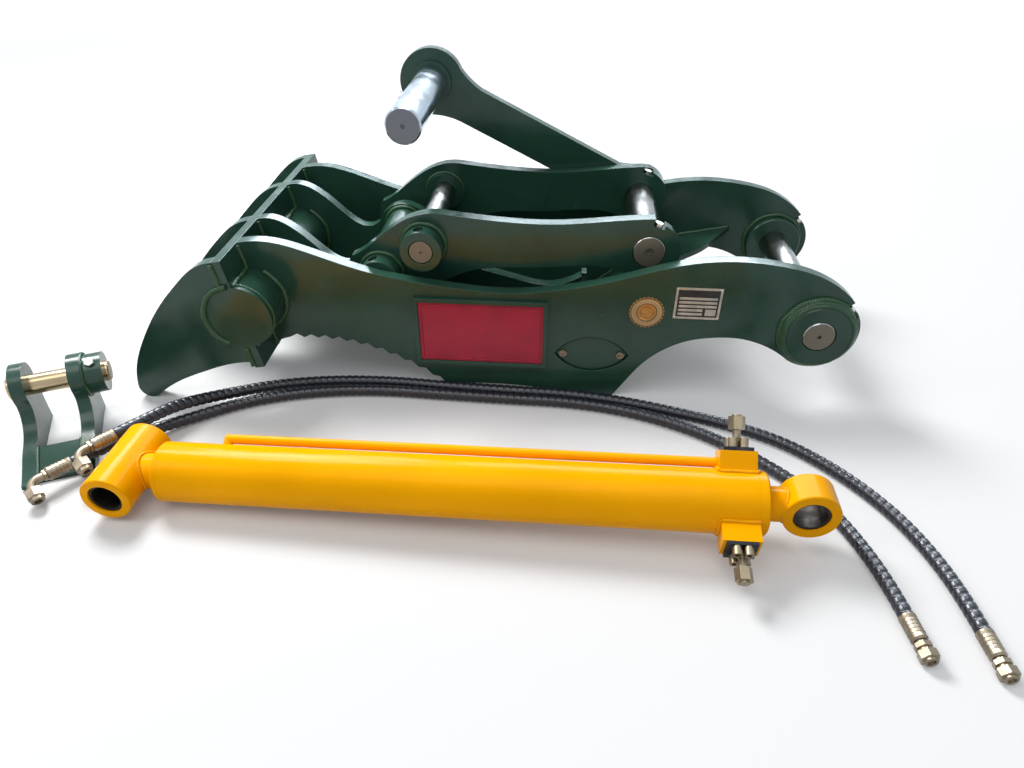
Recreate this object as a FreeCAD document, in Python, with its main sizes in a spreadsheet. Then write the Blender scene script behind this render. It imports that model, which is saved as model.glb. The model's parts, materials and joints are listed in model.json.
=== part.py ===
# Hydraulic thumb kit for a 13 to 15 tonne excavator: the thumb with its link and arm, laid out
# on the floor with its cylinder, its weld-on cylinder bracket and two hoses.
# Millimetres. +X runs from the tine tips to the main pin, +Y from the viewer's side to the far
# side, +Z up. The origin is on the floor, under the middle of the kit.
import FreeCAD, Part
import math
import os
import re
import Sketcher
from FreeCAD import Placement, Rotation, Vector

SIZES = [
    # layout on the floor
    ("kit_x", 747, "main pin axis from the middle of the kit"),
    ("kit_y", 227, "thumb mid-plane from the middle of the kit"),
    ("pivot_height", 178, "main pin axis above the floor"),
    # fits
    ("weld_gap", 0.1, "gap between welded pieces"),
    ("running_fit", 0.05, "radial gap of a turning pin"),
    # thumb frame
    ("plate_thick", 25, "side plates, ribs, tines and link plates"),
    ("frame_width", 456, "across the side plates"),
    ("grip_width", 620, "across the outer tines"),
    ("reach_len", 1142, "main pin to torque tube"),
    ("tube_rise", 28, "torque tube axis above the main pin axis"),
    ("tube_dia", 133, "torque tube outside"),
    ("tube_wall", 14, "torque tube wall"),
    ("cap_thick", 12, "torque tube end caps"),
    ("cross_thick", 20, "cross plates"),
    ("cross_above", 122, "cross plate above the tube axis"),
    ("cross_below", 118, "cross plate below the tube axis"),
    ("cross_lean", 9.8, "lean of the cross plates, degrees"),
    ("tine_tip_x", 1376, "main pin to the middle of the tine tip"),
    ("tine_tip_radius", 25, "round of the tine tip"),
    ("rib_spacing", 198.4, "between the two inner ribs"),
    ("wrap_thick", 12, "grip plate and arch plate"),
    ("arch_hollow", 157, "depth of the hollow in the arch plate's end"),
    ("arch_hollow_half", 203, "half width of that hollow"),
    ("tooth_count", 11, "grip teeth on each side plate"),
    ("tooth_depth", 8, "depth of a grip tooth"),
    ("end_radius", 82, "round end of a side plate"),
    # main pivot
    ("main_pin_dia", 65, "main pin"),
    ("main_pin_proud", 1, "main pin ends beyond the bosses"),
    ("boss_dia", 126, "pivot boss outside"),
    ("boss_out", 19, "pivot boss proud of the outer face"),
    ("boss_in", 22, "pivot boss proud of the inner face"),
    ("boss_edge", 2, "chamfer of the pivot boss"),
    ("main_bolt_angle", 42, "lock bolt of the main pin, degrees above +X"),
    ("lock_bolt_dia", 12, "lock bolt shank"),
    ("lock_head_dia", 19, "lock bolt head across corners"),
    ("lock_head_high", 7, "lock bolt head height"),
    ("bolt_fit", 0.4, "gap round a bolt in its hole"),
    ("notch_width", 24, "notch that a lock bolt sits in"),
    ("notch_deep", 8, "depth of that notch"),
    # link
    ("link_pivot_x", 884, "main pin to the link pivot"),
    ("link_pivot_z", 63, "link pivot above the main pin axis"),
    ("ram_pin_x", 92, "link pivot to the cylinder pin, along X"),
    ("ram_pin_z", 66, "link pivot to the cylinder pin, along Z"),
    ("arm_hinge_x", 545, "link pivot to the arm hinge, along X"),
    ("arm_hinge_z", 65, "link pivot to the arm hinge, along Z"),
    ("link_room", 43, "link plate to the side plate beside it"),
    ("link_pivot_eye", 70, "round of the link at its pivot"),
    ("arm_hinge_eye", 62, "round of the link and the arm at their hinge"),
    ("link_pin_dia", 50, "link pivot pin and cylinder pin"),
    ("hinge_pin_dia", 65, "arm hinge pin"),
    ("collar_dia", 84, "collars on the link"),
    ("collar_gap", 3.9, "collar to the side plate beside it"),
    ("collar_bolt_dia", 20, "lock screw in a collar"),
    ("collar_bolt_sunk", 5, "lock screw below the collar's surface"),
    ("spacer_len", 10, "boss on the inner face of a link plate at the cylinder pin"),
    ("hub_wall", 15, "link pivot tube wall"),
    ("side_gap", 2, "gap beside a moving piece"),
    ("grease_dia", 17, "grease recess in a pin end"),
    ("grease_deep", 6, "depth of the grease recess"),
    # arm
    ("arm_pin_x", 475, "arm hinge to the arm pin, along X"),
    ("arm_pin_z", 237, "arm hinge to the arm pin, along Z"),
    ("arm_pin_dia", 70, "arm pin"),
    ("arm_pin_free", 328, "free length of the arm pin"),
    ("arm_seat_dia", 66, "arm pin where it sits in the arm"),
    ("arm_pin_eye", 70, "round of the arm at its pin"),
    ("arm_above", 34, "arm's top edge above the line between its holes"),
    ("arm_below", 48, "arm's lower edge below that line"),
    ("washer_dia", 88, "washer on the arm pin"),
    ("washer_thick", 6, "thickness of that washer"),
    # plates on the near side
    ("badge_long", 256, "name panel, bare"),
    ("badge_high", 138, "height of the name panel"),
    ("badge_thick", 5, "thickness of the name panel"),
    ("badge_rim", 9, "raised frame round the name panel"),
    ("badge_x", 671, "main pin to the middle of the panel"),
    ("badge_z", 33, "middle of the panel below the pin axis"),
    ("cover_long", 146, "heel cover"),
    ("cover_high", 78, "height of the heel cover"),
    ("cover_deep", 9, "recess of the heel cover"),
    ("cover_thick", 5, "thickness of the heel cover"),
    ("cover_x", 441, "main pin to the middle of the heel cover"),
    ("cover_z", 76, "middle of the heel cover below the pin axis"),
    ("cover_bolt_dia", 16, "heel cover bolt head"),
    ("label_long", 90, "data plate, bare"),
    ("label_high", 69, "height of the data plate"),
    ("label_thick", 1.5, "thickness of the data plate"),
    ("label_x", 241, "main pin to the middle of the data plate"),
    ("label_z", 54, "middle of the data plate above the pin axis"),
    # cylinder
    ("ram_x", 1270, "main pin to the base eye"),
    ("ram_y", 592, "thumb mid-plane to the base eye"),
    ("ram_height", 52.5, "base eye above the floor"),
    ("ram_yaw", 1.7, "rod end towards the viewer, degrees"),
    ("ram_tilt", 1.7, "rod end raised, degrees"),
    ("barrel_dia", 107, "barrel outside"),
    ("barrel_wall", 11, "barrel wall"),
    ("barrel_start", 82, "base eye to the barrel"),
    ("barrel_end", 1108, "base eye to the end of the gland"),
    ("base_cap_thick", 12, "barrel base cap outside the barrel"),
    ("spigot_len", 20, "base cap inside the barrel"),
    ("neck_dia", 62, "neck between the base cap and the base eye"),
    ("base_eye_dia", 88, "base eye outside"),
    ("base_eye_len", 157, "base eye length"),
    ("eye_bush_dia", 60, "bush outside"),
    ("eye_bore", 50.2, "bush inside"),
    ("bush_recess", 4, "bush below the eye's face"),
    ("gland_len", 88, "gland inside the barrel"),
    ("gland_flange", 16, "gland outside the barrel"),
    ("rod_dia", 50, "piston rod"),
    ("piston_len", 58, "piston"),
    ("piston_nut_len", 26, "nut on the piston"),
    ("rod_eye_gap", 24, "gland to the rod eye, closed"),
    ("rod_eye_dia", 92, "rod eye outside"),
    ("rod_eye_len", 57, "rod eye length"),
    ("rod_neck_dia", 58, "neck between the rod and its eye"),
    ("port_back", 46, "ports behind the end of the gland"),
    ("front_port_angle", 15, "front port below the horizontal, degrees"),
    ("rear_port_angle", 48, "rear port above the horizontal, degrees"),
    ("pipe_angle", 38, "transfer pipe above the horizontal, degrees"),
    ("port_long", 60, "port block along the barrel"),
    ("port_wide", 46, "port block across"),
    ("port_proud", 30, "port block proud of the barrel"),
    ("port_bore", 14, "oil way"),
    ("flange_thick", 6, "port flange"),
    ("adapter_len", 29, "port adapter"),
    ("adapter_dia", 17, "port adapter across its collar"),
    ("adapter_neck", 13, "port adapter across its neck"),
    ("cap_across", 28, "port cap across corners"),
    ("cap_high", 22, "hexagon of the port cap"),
    ("plug_dia", 16, "plug on the port cap"),
    ("plug_high", 25, "port cap with its plug"),
    ("port_bolt_dia", 15, "port bolt head"),
    ("port_bolt_high", 15, "height of that head"),
    ("port_bolt_x", 9, "port bolts from the port, along the barrel"),
    ("port_bolt_z", 15, "port bolts from the port, across the barrel"),
    ("pipe_dia", 17, "transfer pipe"),
    ("pipe_start", 178, "base eye to the start of the transfer pipe"),
    # cylinder bracket
    ("bracket_x", 1545, "main pin to the bracket pin"),
    ("bracket_y", 437, "thumb mid-plane to the bracket pin"),
    ("bracket_yaw", 25, "bracket turned from the kit, degrees"),
    ("bracket_pin_high", 110, "bracket pin above the floor"),
    ("bracket_pin_dia", 40, "bracket pin"),
    ("bracket_head_dia", 50, "head of the bracket pin"),
    ("bracket_head_len", 10, "thickness of that head"),
    ("bracket_pin_proud", 8, "bracket pin beyond its collar"),
    ("ear_gap", 76, "between the ears"),
    ("ear_thick", 24, "ear"),
    ("ear_eye", 45, "round of an ear"),
    ("ear_foot", 189, "pin to the toe of an ear"),
    ("ear_heel", 46, "pin to the heel of an ear"),
    ("bracket_collar_dia", 80, "bracket collar"),
    ("collar_out", 36, "bracket collar length"),
    # hoses
    ("hose_dia", 24, "hose with its guard"),
    ("ferrule_dia", 27, "hose ferrule"),
    ("ferrule_len", 44, "hose ferrule length"),
    ("elbow_dia", 15, "elbow tube"),
    ("elbow_radius", 18, "elbow bend"),
    ("elbow_lead", 14, "elbow tube before its bend"),
    ("nut_across", 27, "hose nut across flats"),
    ("nut_len", 26, "hose nut length"),
]

# Lengths that follow from the sizes above
FITTED = [
    ("main_pin_len", "frame_width + 2 * boss_out + 2 * main_pin_proud", "main pin length"),
    ("link_width", "frame_width - 2 * plate_thick - 2 * link_room", "across the link plates"),
    ("collar_len", "link_room - collar_gap - weld_gap", "collar length"),
    ("barrel_bore", "barrel_dia - 2 * barrel_wall", "barrel inside"),
    ("port_x", "barrel_end - port_back", "base eye to the ports"),
]

doc = FreeCAD.newDocument("hydraulic_thumb")
sheet = doc.addObject("Spreadsheet::Sheet", "Sizes")
for row, (alias, value, note) in enumerate(SIZES + FITTED, start=1):
    sheet.set(f"A{row}", note)
    sheet.set(f"B{row}", f"={value}" if isinstance(value, str) else str(value))
    sheet.setAlias(f"B{row}", alias)
doc.recompute()

NODES = []


def size(alias):
    """One driving size, in millimetres or degrees."""
    return float(sheet.get(alias))


def bound(text):
    """An expression in which every word with an underscore is a cell of the sheet."""
    return re.sub(r"\b[a-z]+(?:_[a-z0-9]+)+\b", r"Sizes.\g<0>", text)


# Sketch and feature helpers

def new_body(name):
    return doc.addObject("PartDesign::Body", name + "_body")


def sketch_in(body, plane):
    sketch = body.newObject("Sketcher::SketchObject", body.Name + "_sketch")
    support = [part for part in body.Origin.OriginFeatures if part.Role == plane][0]
    sketch.AttachmentSupport = [(support, "")]
    sketch.MapMode = "FlatFace"
    return sketch


def place_point(sketch, edge, point, x, y):
    """Hold one point of an edge at a bound distance from the sketch's origin."""
    for kind, text in (("DistanceX", x), ("DistanceY", y)):
        number = sketch.addConstraint(Sketcher.Constraint(kind, -1, 1, edge, point, 1.0))
        sketch.setExpression(f"Constraints[{number}]", bound(text))


def circle(sketch, x, y, diameter):
    edge = sketch.addGeometry(Part.Circle(Vector(1, 1, 0), Vector(0, 0, 1), 10), False)
    place_point(sketch, edge, 3, x, y)
    number = sketch.addConstraint(Sketcher.Constraint("Diameter", edge, 20.0))
    sketch.setExpression(f"Constraints[{number}]", bound(diameter))


def polygon(sketch, corners):
    """A closed run of straight edges whose corners are bound expressions."""
    count = len(corners)
    spread = [Vector(60 + 40 * math.cos(6.28 * k / count), 60 + 40 * math.sin(6.28 * k / count), 0)
              for k in range(count)]
    first = sketch.GeometryCount
    for k in range(count):
        sketch.addGeometry(Part.LineSegment(spread[k], spread[(k + 1) % count]), False)
    for k in range(count):
        following = first + (k + 1) % count
        sketch.addConstraint(Sketcher.Constraint("Coincident", first + k, 2, following, 1))
        place_point(sketch, first + k, 1, *corners[k])


class Outline:
    """A closed outline drawn point by point: straight edges, arcs and smooth curves."""

    def __init__(self, sketch, start):
        self.sketch = sketch
        self.start = Vector(*start, 0)
        self.here = self.start

    def line(self, *points):
        for point in points:
            end = Vector(*point, 0)
            self.sketch.addGeometry(Part.LineSegment(self.here, end), False)
            self.here = end
        return self

    def arc(self, middle, end):
        end = Vector(*end, 0)
        self.sketch.addGeometry(Part.Arc(self.here, Vector(*middle, 0), end), False)
        self.here = end
        return self

    def curve(self, *points):
        run = [self.here] + [Vector(*point, 0) for point in points]
        spline = Part.BSplineCurve()
        spline.interpolate(run)
        self.sketch.addGeometry(spline, False)
        self.here = run[-1]
        return self

    def close(self):
        if (self.here - self.start).Length > 1e-6:
            self.line((self.start.x, self.start.y))
        self.sketch.detectMissingPointOnPointConstraints(1e-4)
        self.sketch.makeMissingPointOnPointCoincident()


def pad(body, sketch, length, symmetric=True):
    feature = body.newObject("PartDesign::Pad", body.Name + "_pad")
    feature.Profile = sketch
    feature.SideType = "Symmetric" if symmetric else "One side"
    feature.setExpression("Length", bound(length))
    return feature


def turned(name, corners, axis):
    """A body of revolution. Its corners are (along, radius) pairs, about the X or the Y axis."""
    body = new_body(name)
    sketch = sketch_in(body, "XY_Plane")
    if axis == "Y":
        corners = [(radius, along) for along, radius in corners]
    polygon(sketch, corners)
    feature = body.newObject("PartDesign::Revolution", body.Name + "_turn")
    feature.Profile = sketch
    feature.ReferenceAxis = (sketch, ["V_Axis" if axis == "Y" else "H_Axis"])
    feature.Angle = 360
    return body


def pin(name, diameter, start, end, chamfer="2"):
    """A round pin along Y with chamfered ends."""
    edge = f"({diameter}) / 2"
    return turned(name, [(start, "0"), (start, f"{edge} - {chamfer}"), (f"{start} + {chamfer}", edge),
                         (f"{end} - {chamfer}", edge), (end, f"{edge} - {chamfer}"), (end, "0")], "Y")


def ring(name, outside, inside, start, end, axis="Y"):
    """A plain tube or bush."""
    return turned(name, [(start, f"({inside}) / 2"), (start, f"({outside}) / 2"),
                         (end, f"({outside}) / 2"), (end, f"({inside}) / 2")], axis)


def cylinder(name, diameter, length, base, direction):
    """A round solid from a base point along a direction, for holes and shanks."""
    solid = doc.addObject("Part::Cylinder", name)
    solid.setExpression("Radius", bound(f"({diameter}) / 2"))
    solid.setExpression("Height", bound(length))
    solid.Placement = Placement(Vector(*base), Rotation(Vector(0, 0, 1), Vector(*direction)))
    return solid


def hexagon(name, corner_dia, length, base, direction):
    solid = doc.addObject("Part::Prism", name)
    solid.Polygon = 6
    solid.setExpression("Circumradius", bound(f"({corner_dia}) / 2"))
    solid.setExpression("Height", bound(length))
    solid.Placement = Placement(Vector(*base), Rotation(Vector(0, 0, 1), Vector(*direction)))
    return solid


def box(name, long, wide, high, x="0", y="0", z="0"):
    """A box whose middle is at the given bound point."""
    solid = doc.addObject("Part::Box", name)
    for side, text, axis, place in (("Length", long, "x", x), ("Width", wide, "y", y),
                                    ("Height", high, "z", z)):
        solid.setExpression(side, bound(text))
        solid.setExpression(f".Placement.Base.{axis}", bound(f"{place} - ({text}) / 2"))
    return solid


def cut(name, base, *tools):
    result = base
    for number, tool in enumerate(tools):
        step = doc.addObject("Part::Cut", f"{name}_cut{number}")
        step.Base = result
        step.Tool = tool
        result = step
    return result


def fuse(name, *pieces):
    result = doc.addObject("Part::MultiFuse", name + "_fuse")
    result.Shapes = list(pieces)
    return result


def group(name, *pieces):
    """Separate solids that share one node."""
    result = doc.addObject("Part::Compound", name + "_group")
    result.Links = list(pieces)
    return result


def node(name, shape, frame):
    """Name a finished piece and set it in its place in the kit."""
    shape.Label = name
    frame(shape)
    NODES.append(shape)
    return shape


# Places in the kit

def thumb_at(y="0"):
    """The thumb's own frame: the main pin axis at the given distance from the mid-plane."""
    def frame(shape):
        shape.setExpression(".Placement.Base.x", bound("kit_x"))
        shape.setExpression(".Placement.Base.y", bound(f"kit_y + {y}"))
        shape.setExpression(".Placement.Base.z", bound("pivot_height"))
    return frame


def ram_frame(shape):
    """The cylinder's frame: the base eye, with +X along the barrel."""
    turn = Rotation(Vector(0, 0, 1), -size("ram_yaw")) * Rotation(Vector(0, 1, 0), -size("ram_tilt"))
    shape.Placement = Placement(Vector(0, 0, 0), turn)
    shape.setExpression(".Placement.Base.x", bound("kit_x - ram_x"))
    shape.setExpression(".Placement.Base.y", bound("kit_y - ram_y"))
    shape.setExpression(".Placement.Base.z", bound("ram_height"))


def bracket_frame(shape):
    """The bracket's frame: under its pin, on the floor, with +Y along the pin."""
    turn = Rotation(Vector(0, 0, 1), size("bracket_yaw") - 90)
    shape.Placement = Placement(Vector(0, 0, 0), turn)
    shape.setExpression(".Placement.Base.x", bound("kit_x - bracket_x"))
    shape.setExpression(".Placement.Base.y", bound("kit_y - bracket_y"))


# Derived places, in the thumb's frame: x from the main pin, z above its axis
floor_z = -size("pivot_height")
plate_y = (size("frame_width") - size("plate_thick")) / 2
tube_x, tube_z = -size("reach_len"), size("tube_rise")
lean_sin = math.sin(math.radians(size("cross_lean")))
lean_cos = math.cos(math.radians(size("cross_lean")))
link_x, link_z = -size("link_pivot_x"), size("link_pivot_z")
ram_pin_x, ram_pin_z = link_x + size("ram_pin_x"), link_z + size("ram_pin_z")
hinge_x, hinge_z = link_x + size("arm_hinge_x"), link_z + size("arm_hinge_z")
arm_x, arm_z = hinge_x - size("arm_pin_x"), hinge_z + size("arm_pin_z")
tube_cut = size("tube_dia") / 2 + size("weld_gap")


def along(share, z):
    """A point at a share of the way from the main pin to the torque tube."""
    return (share * tube_x, z)


def leaned(back, up):
    """A point measured from the tube axis, square to the leaning cross plates and up along them."""
    return (tube_x + back * lean_cos - up * lean_sin, tube_z + back * lean_sin + up * lean_cos)


def polar(centre, radius, degrees):
    angle = math.radians(degrees)
    return (centre[0] + radius * math.cos(angle), centre[1] + radius * math.sin(angle))


def tube_bite(side):
    """Two points where a plate that butts on a cross plate meets the tube, and the arc's middle."""
    offset = side * (size("cross_thick") / 2 + size("weld_gap"))
    rise = math.sqrt(tube_cut ** 2 - offset ** 2)
    return leaned(offset, -rise), leaned(side * tube_cut, 0), leaned(offset, rise)


def notch(centre, radius, degrees, shoulder):
    """The shoulder, the seat's two ends and the far lip of a lock bolt's notch in a round end."""
    half = size("notch_width") / 2
    rim = math.sqrt(radius ** 2 - half ** 2)
    seat = rim - size("notch_deep")
    out = Vector(math.cos(math.radians(degrees)), math.sin(math.radians(degrees)), 0)
    left = Vector(-out.y, out.x, 0)
    middle = Vector(*centre, 0)
    corners = [middle + out * (rim + shoulder) + left * half, middle + out * seat + left * half,
               middle + out * seat - left * half, middle + out * rim - left * half]
    return [(corner.x, corner.y) for corner in corners]


def notch_seat(radius):
    """The seat of a notch above the centre of its round end, clear of the bolt's head."""
    return math.sqrt(radius ** 2 - (size("notch_width") / 2) ** 2) - size("notch_deep") + size("weld_gap")


def lock_hole(name, centre, degrees, y=0.0, start=0.0, across="lock_bolt_dia"):
    """A radial hole for a lock bolt, from a distance off the axis outwards."""
    base = polar(centre, start, degrees)
    outward = polar((0, 0), 1, degrees)
    return cylinder(name, f"{across} + bolt_fit", "120",
                    (base[0], y, base[1]), (outward[0], 0, outward[1]))


def lock_bolt(name, centre, degrees, y, inner, seat):
    """A hex bolt along a radius, its head on a seat at the given distance from the axis."""
    base, head = polar(centre, inner, degrees), polar(centre, seat, degrees)
    outward = polar((0, 0), 1, degrees)
    direction = (outward[0], 0, outward[1])
    shank = cylinder(name + "_shank", "lock_bolt_dia", str(seat - inner + 1), (base[0], y, base[1]), direction)
    cap = hexagon(name + "_head", "lock_head_dia", "lock_head_high", (head[0], y, head[1]), direction)
    return fuse(name, shank, cap)


# Thumb frame: side plates, torque tube, cross plates, tines and ribs

def grip_height(x):
    """Lower edge of the thumb between the cross plate and the heel."""
    flat_x, flat_z, steepness = 0.893 * tube_x, -63.0, 0.00142
    return flat_z - steepness * max(0.0, x - flat_x) ** 2


def side_plate(name):
    """One side plate, its outline drawn from the cross plate along the top to the round end."""
    body = new_body(name)
    sketch = sketch_in(body, "XZ_Plane")
    pivot = (0, 0)
    shoulder, *notched = notch(pivot, size("end_radius"), size("main_bolt_angle"), 7)
    gap = size("cross_thick") / 2 + size("weld_gap")
    low, side, high = tube_bite(1)
    outline = Outline(sketch, leaned(gap, size("cross_above")))
    outline.curve(along(0.935, 151), along(0.89, 136), along(0.80, 101), along(0.628, 67),
                  along(0.547, 60), along(0.468, 68), along(0.365, 93), along(0.254, 132),
                  along(0.155, 146), along(0.087, 140), along(0.031, 126), shoulder)
    outline.line(*notched)
    outline.arc(polar(pivot, size("end_radius"), -50), polar(pivot, size("end_radius"), -122))
    heel_front, heel_back = (0.342 * tube_x, floor_z), (0.396 * tube_x, floor_z)
    outline.curve(along(0.063, -49), along(0.093, -33), along(0.129, -23), along(0.171, -23),
                  along(0.219, -34), along(0.258, -57), along(0.292, -92), along(0.317, -133),
                  heel_front)
    outline.line(heel_back)
    first_tooth, last_tooth = 0.655 * tube_x, 0.945 * tube_x
    outline.curve((0.45 * tube_x, floor_z + 8), (0.56 * tube_x, floor_z + 17),
                  (first_tooth, grip_height(first_tooth)))
    count = int(size("tooth_count"))
    for tooth in range(count):
        pitch = (last_tooth - first_tooth) / count
        start = first_tooth + tooth * pitch
        outline.line((start + pitch * 0.5, grip_height(start + pitch * 0.5) + size("tooth_depth")),
                     (start + pitch, grip_height(start + pitch)))
    outline.line(leaned(gap, -size("cross_below") + 12))
    outline.line(low).arc(side, high)
    outline.close()
    circle(sketch, "0", "0", "boss_dia + 2 * weld_gap")
    pad(body, sketch, "plate_thick")
    hole = lock_hole(name + "_bolt_hole", pivot, size("main_bolt_angle"))
    return cut(name, body, hole)


def lens(sketch, long, high, centre):
    """An eye-shaped outline."""
    x, z = centre
    outline = Outline(sketch, (x - long / 2, z))
    outline.arc((x, z + high / 2), (x + long / 2, z))
    outline.arc((x, z - high / 2), (x - long / 2, z))
    outline.close()


cover_centre = (-size("cover_x"), -size("cover_z"))
badge_y = -size("frame_width") / 2
recess_body = new_body("heel_recess")
recess_sketch = sketch_in(recess_body, "XZ_Plane")
lens(recess_sketch, size("cover_long") + 8, size("cover_high") + 6, cover_centre)
pad(recess_body, recess_sketch, "2 * cover_deep")
recess_body.setExpression(".Placement.Base.y", bound("-plate_thick / 2"))
node("near_side_plate", cut("near_recess", side_plate("near_plate"), recess_body),
     thumb_at("(plate_thick - frame_width) / 2"))
node("far_side_plate", side_plate("far_plate"), thumb_at("(frame_width - plate_thick) / 2"))

node("torque_tube", ring("torque_tube", "tube_dia", "tube_dia - 2 * tube_wall",
                         "cap_thick - grip_width / 2 + weld_gap", "grip_width / 2 - cap_thick - weld_gap"),
     lambda shape: (thumb_at()(shape),
                    shape.setExpression(".Placement.Base.x", bound("kit_x - reach_len")),
                    shape.setExpression(".Placement.Base.z", bound("pivot_height + tube_rise"))))


def tube_cap(name, side):
    base = (tube_x, side * size("grip_width") / 2, tube_z)
    return cylinder(name, "tube_dia", "cap_thick", base, (0, -side, 0))


node("tube_end_caps", group("tube_end_caps", tube_cap("near_cap", -1), tube_cap("far_cap", 1)), thumb_at())


def cross_plate(name, side, height):
    """A leaning strip across the whole grip, welded to the tube above or below."""
    body = new_body(name)
    sketch = sketch_in(body, "XZ_Plane")
    half = size("cross_thick") / 2
    rise = math.sqrt(tube_cut ** 2 - half ** 2)
    outline = Outline(sketch, leaned(-half, side * rise))
    outline.line(leaned(-half, side * height), leaned(half, side * height), leaned(half, side * rise))
    outline.arc(leaned(0, side * tube_cut), leaned(-half, side * rise))
    outline.close()
    pad(body, sketch, "grip_width")
    return body


node("upper_cross_plate", cross_plate("upper_cross", 1, size("cross_above")), thumb_at())
node("lower_cross_plate", cross_plate("lower_cross", -1, size("cross_below")), thumb_at())


def tine(name):
    """A claw-shaped plate in front of the cross plates, with a bite for the tube."""
    body = new_body(name)
    sketch = sketch_in(body, "XZ_Plane")
    gap = size("cross_thick") / 2 + size("weld_gap")
    radius = size("tine_tip_radius")
    tip = (-size("tine_tip_x"), floor_z + radius)
    low, side, high = tube_bite(-1)
    outline = Outline(sketch, leaned(-gap, size("cross_above")))
    outline.curve(leaned(-44, 117), leaned(-94, 89), leaned(-157, 41), leaned(-222, -25),
                  leaned(-270, -92), polar(tip, radius, 172))
    outline.arc(polar(tip, radius, -120), polar(tip, radius, -58))
    outline.curve(leaned(-172, -126), leaned(-123, -114), leaned(-70, -104),
                  leaned(-gap, 14 - size("cross_below")))
    outline.line(low).arc(side, high)
    outline.close()
    pad(body, sketch, "plate_thick")
    return body


for number in range(4):
    offset = f"(plate_thick - grip_width) / 2 + {number} / 3 * (grip_width - plate_thick)"
    node(f"tine_{number + 1}", tine(f"tine_{number + 1}"), thumb_at(offset))


def strip_edge(points, offset):
    """Points along a smooth line, moved to its upper side."""
    line = Part.BSplineCurve()
    line.interpolate([Vector(*point, 0) for point in points])
    moved = []
    for number in range(13):
        place = line.FirstParameter + number / 12 * (line.LastParameter - line.FirstParameter)
        tangent = line.tangent(place)[0]
        spot = line.value(place) + Vector(-tangent.y, tangent.x, 0) * offset
        moved.append((spot.x, spot.y))
    return moved


grip_points = [(share * tube_x, grip_height(share * tube_x) + size("tooth_depth") + 2)
               for share in (0.977, 0.92, 0.87, 0.81, 0.75, 0.70)]
grip_points += [(0.62 * tube_x, floor_z + 36), (0.50 * tube_x, floor_z + 24), (0.405 * tube_x, floor_z + 20)]


def rib(name):
    """An inner rib: from the cross plate to the link pivot tube and on under the link."""
    body = new_body(name)
    sketch = sketch_in(body, "XZ_Plane")
    gap = size("cross_thick") / 2 + size("weld_gap")
    low, side, high = tube_bite(1)
    rest_z = ram_pin_z - size("collar_dia") / 2 - 0.5
    outline = Outline(sketch, leaned(gap, size("cross_above")))
    outline.curve(along(0.975, 151), along(0.945, 133), along(0.92, 109), along(0.895, 82),
                  (link_x - 100, link_z - 6), (link_x - 60, link_z + 4))
    outline.curve((link_x - 36, link_z + 37), (link_x, link_z + 50), (link_x + 40, link_z + 37),
                  (ram_pin_x - 30, rest_z))
    outline.line((ram_pin_x + 30, rest_z))
    outline.curve(along(0.61, 58), along(0.53, 32), along(0.465, 20), along(0.43, 32), along(0.40, 52))
    end_x = 0.41 * tube_x
    outline.line((end_x, 52), (end_x, floor_z + 10), leaned(gap, -size("cross_below")))
    outline.line(low).arc(side, high)
    outline.close()
    circle(sketch, "-link_pivot_x", "link_pivot_z", "link_pin_dia + 2 * hub_wall + 2 * weld_gap")
    pad(body, sketch, "plate_thick")
    under = new_body(name + "_under")
    under_sketch = sketch_in(under, "XZ_Plane")
    seat = strip_edge(grip_points, size("wrap_thick") + size("weld_gap"))
    outline = Outline(under_sketch, seat[0])
    outline.curve(*seat[1:])
    outline.line((seat[-1][0] + 40, seat[-1][1]), (seat[-1][0] + 40, floor_z - 40),
                 (seat[0][0] - 40, floor_z - 40), (seat[0][0] - 40, seat[0][1]))
    outline.close()
    pad(under, under_sketch, "2 * plate_thick")
    return cut(name, body, under)


near_rib, far_rib = rib("near_rib"), rib("far_rib")
near_rib.setExpression(".Placement.Base.y", bound("-rib_spacing / 2"))
far_rib.setExpression(".Placement.Base.y", bound("rib_spacing / 2"))
node("inner_ribs", group("inner_ribs", near_rib, far_rib), thumb_at())


def bent_strip(name, points, width):
    """A plate bent along a smooth line, its thickness on the upper side of the line."""
    body = new_body(name)
    sketch = sketch_in(body, "XZ_Plane")
    upper = strip_edge(points, size("wrap_thick"))
    outline = Outline(sketch, points[0])
    outline.curve(*points[1:])
    outline.line(upper[-1])
    outline.curve(*upper[-2::-1])
    outline.close()
    pad(body, sketch, width)
    return body


inner_width = "frame_width - 2 * plate_thick - 2 * weld_gap"
node("grip_plate", bent_strip("grip_plate", grip_points, inner_width), thumb_at())
arch_points = [(0.385 * tube_x, floor_z + 16), along(0.325, -104), along(0.28, -58), along(0.235, -20),
               along(0.193, -3), along(0.163, 4), along(0.132, 11), along(0.092, 21)]


def arch_hollow():
    """The rounded hollow in the arch plate's end, seen from above."""
    body = new_body("arch_hollow")
    sketch = sketch_in(body, "XY_Plane")
    half, deep, end = size("arch_hollow_half"), size("arch_hollow"), 0.092 * tube_x
    edge = [(1.015, -0.03), (0.798, 0.223), (0.581, 0.465), (0.483, 0.637), (0.394, 0.822), (0.197, 0.962)]
    points = [(end - back * deep, -aside * half) for aside, back in edge] + [(end - deep, 0)]
    points += [(end - back * deep, aside * half) for aside, back in reversed(edge)]
    outline = Outline(sketch, points[0])
    outline.curve(*points[1:])
    outline.line((0, points[-1][1]), (0, points[0][1]))
    outline.close()
    pad(body, sketch, "4 * pivot_height")
    return body


node("arch_plate", cut("arch_plate", bent_strip("arch_plate", arch_points, inner_width), arch_hollow()), thumb_at())

# Main pivot


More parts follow.
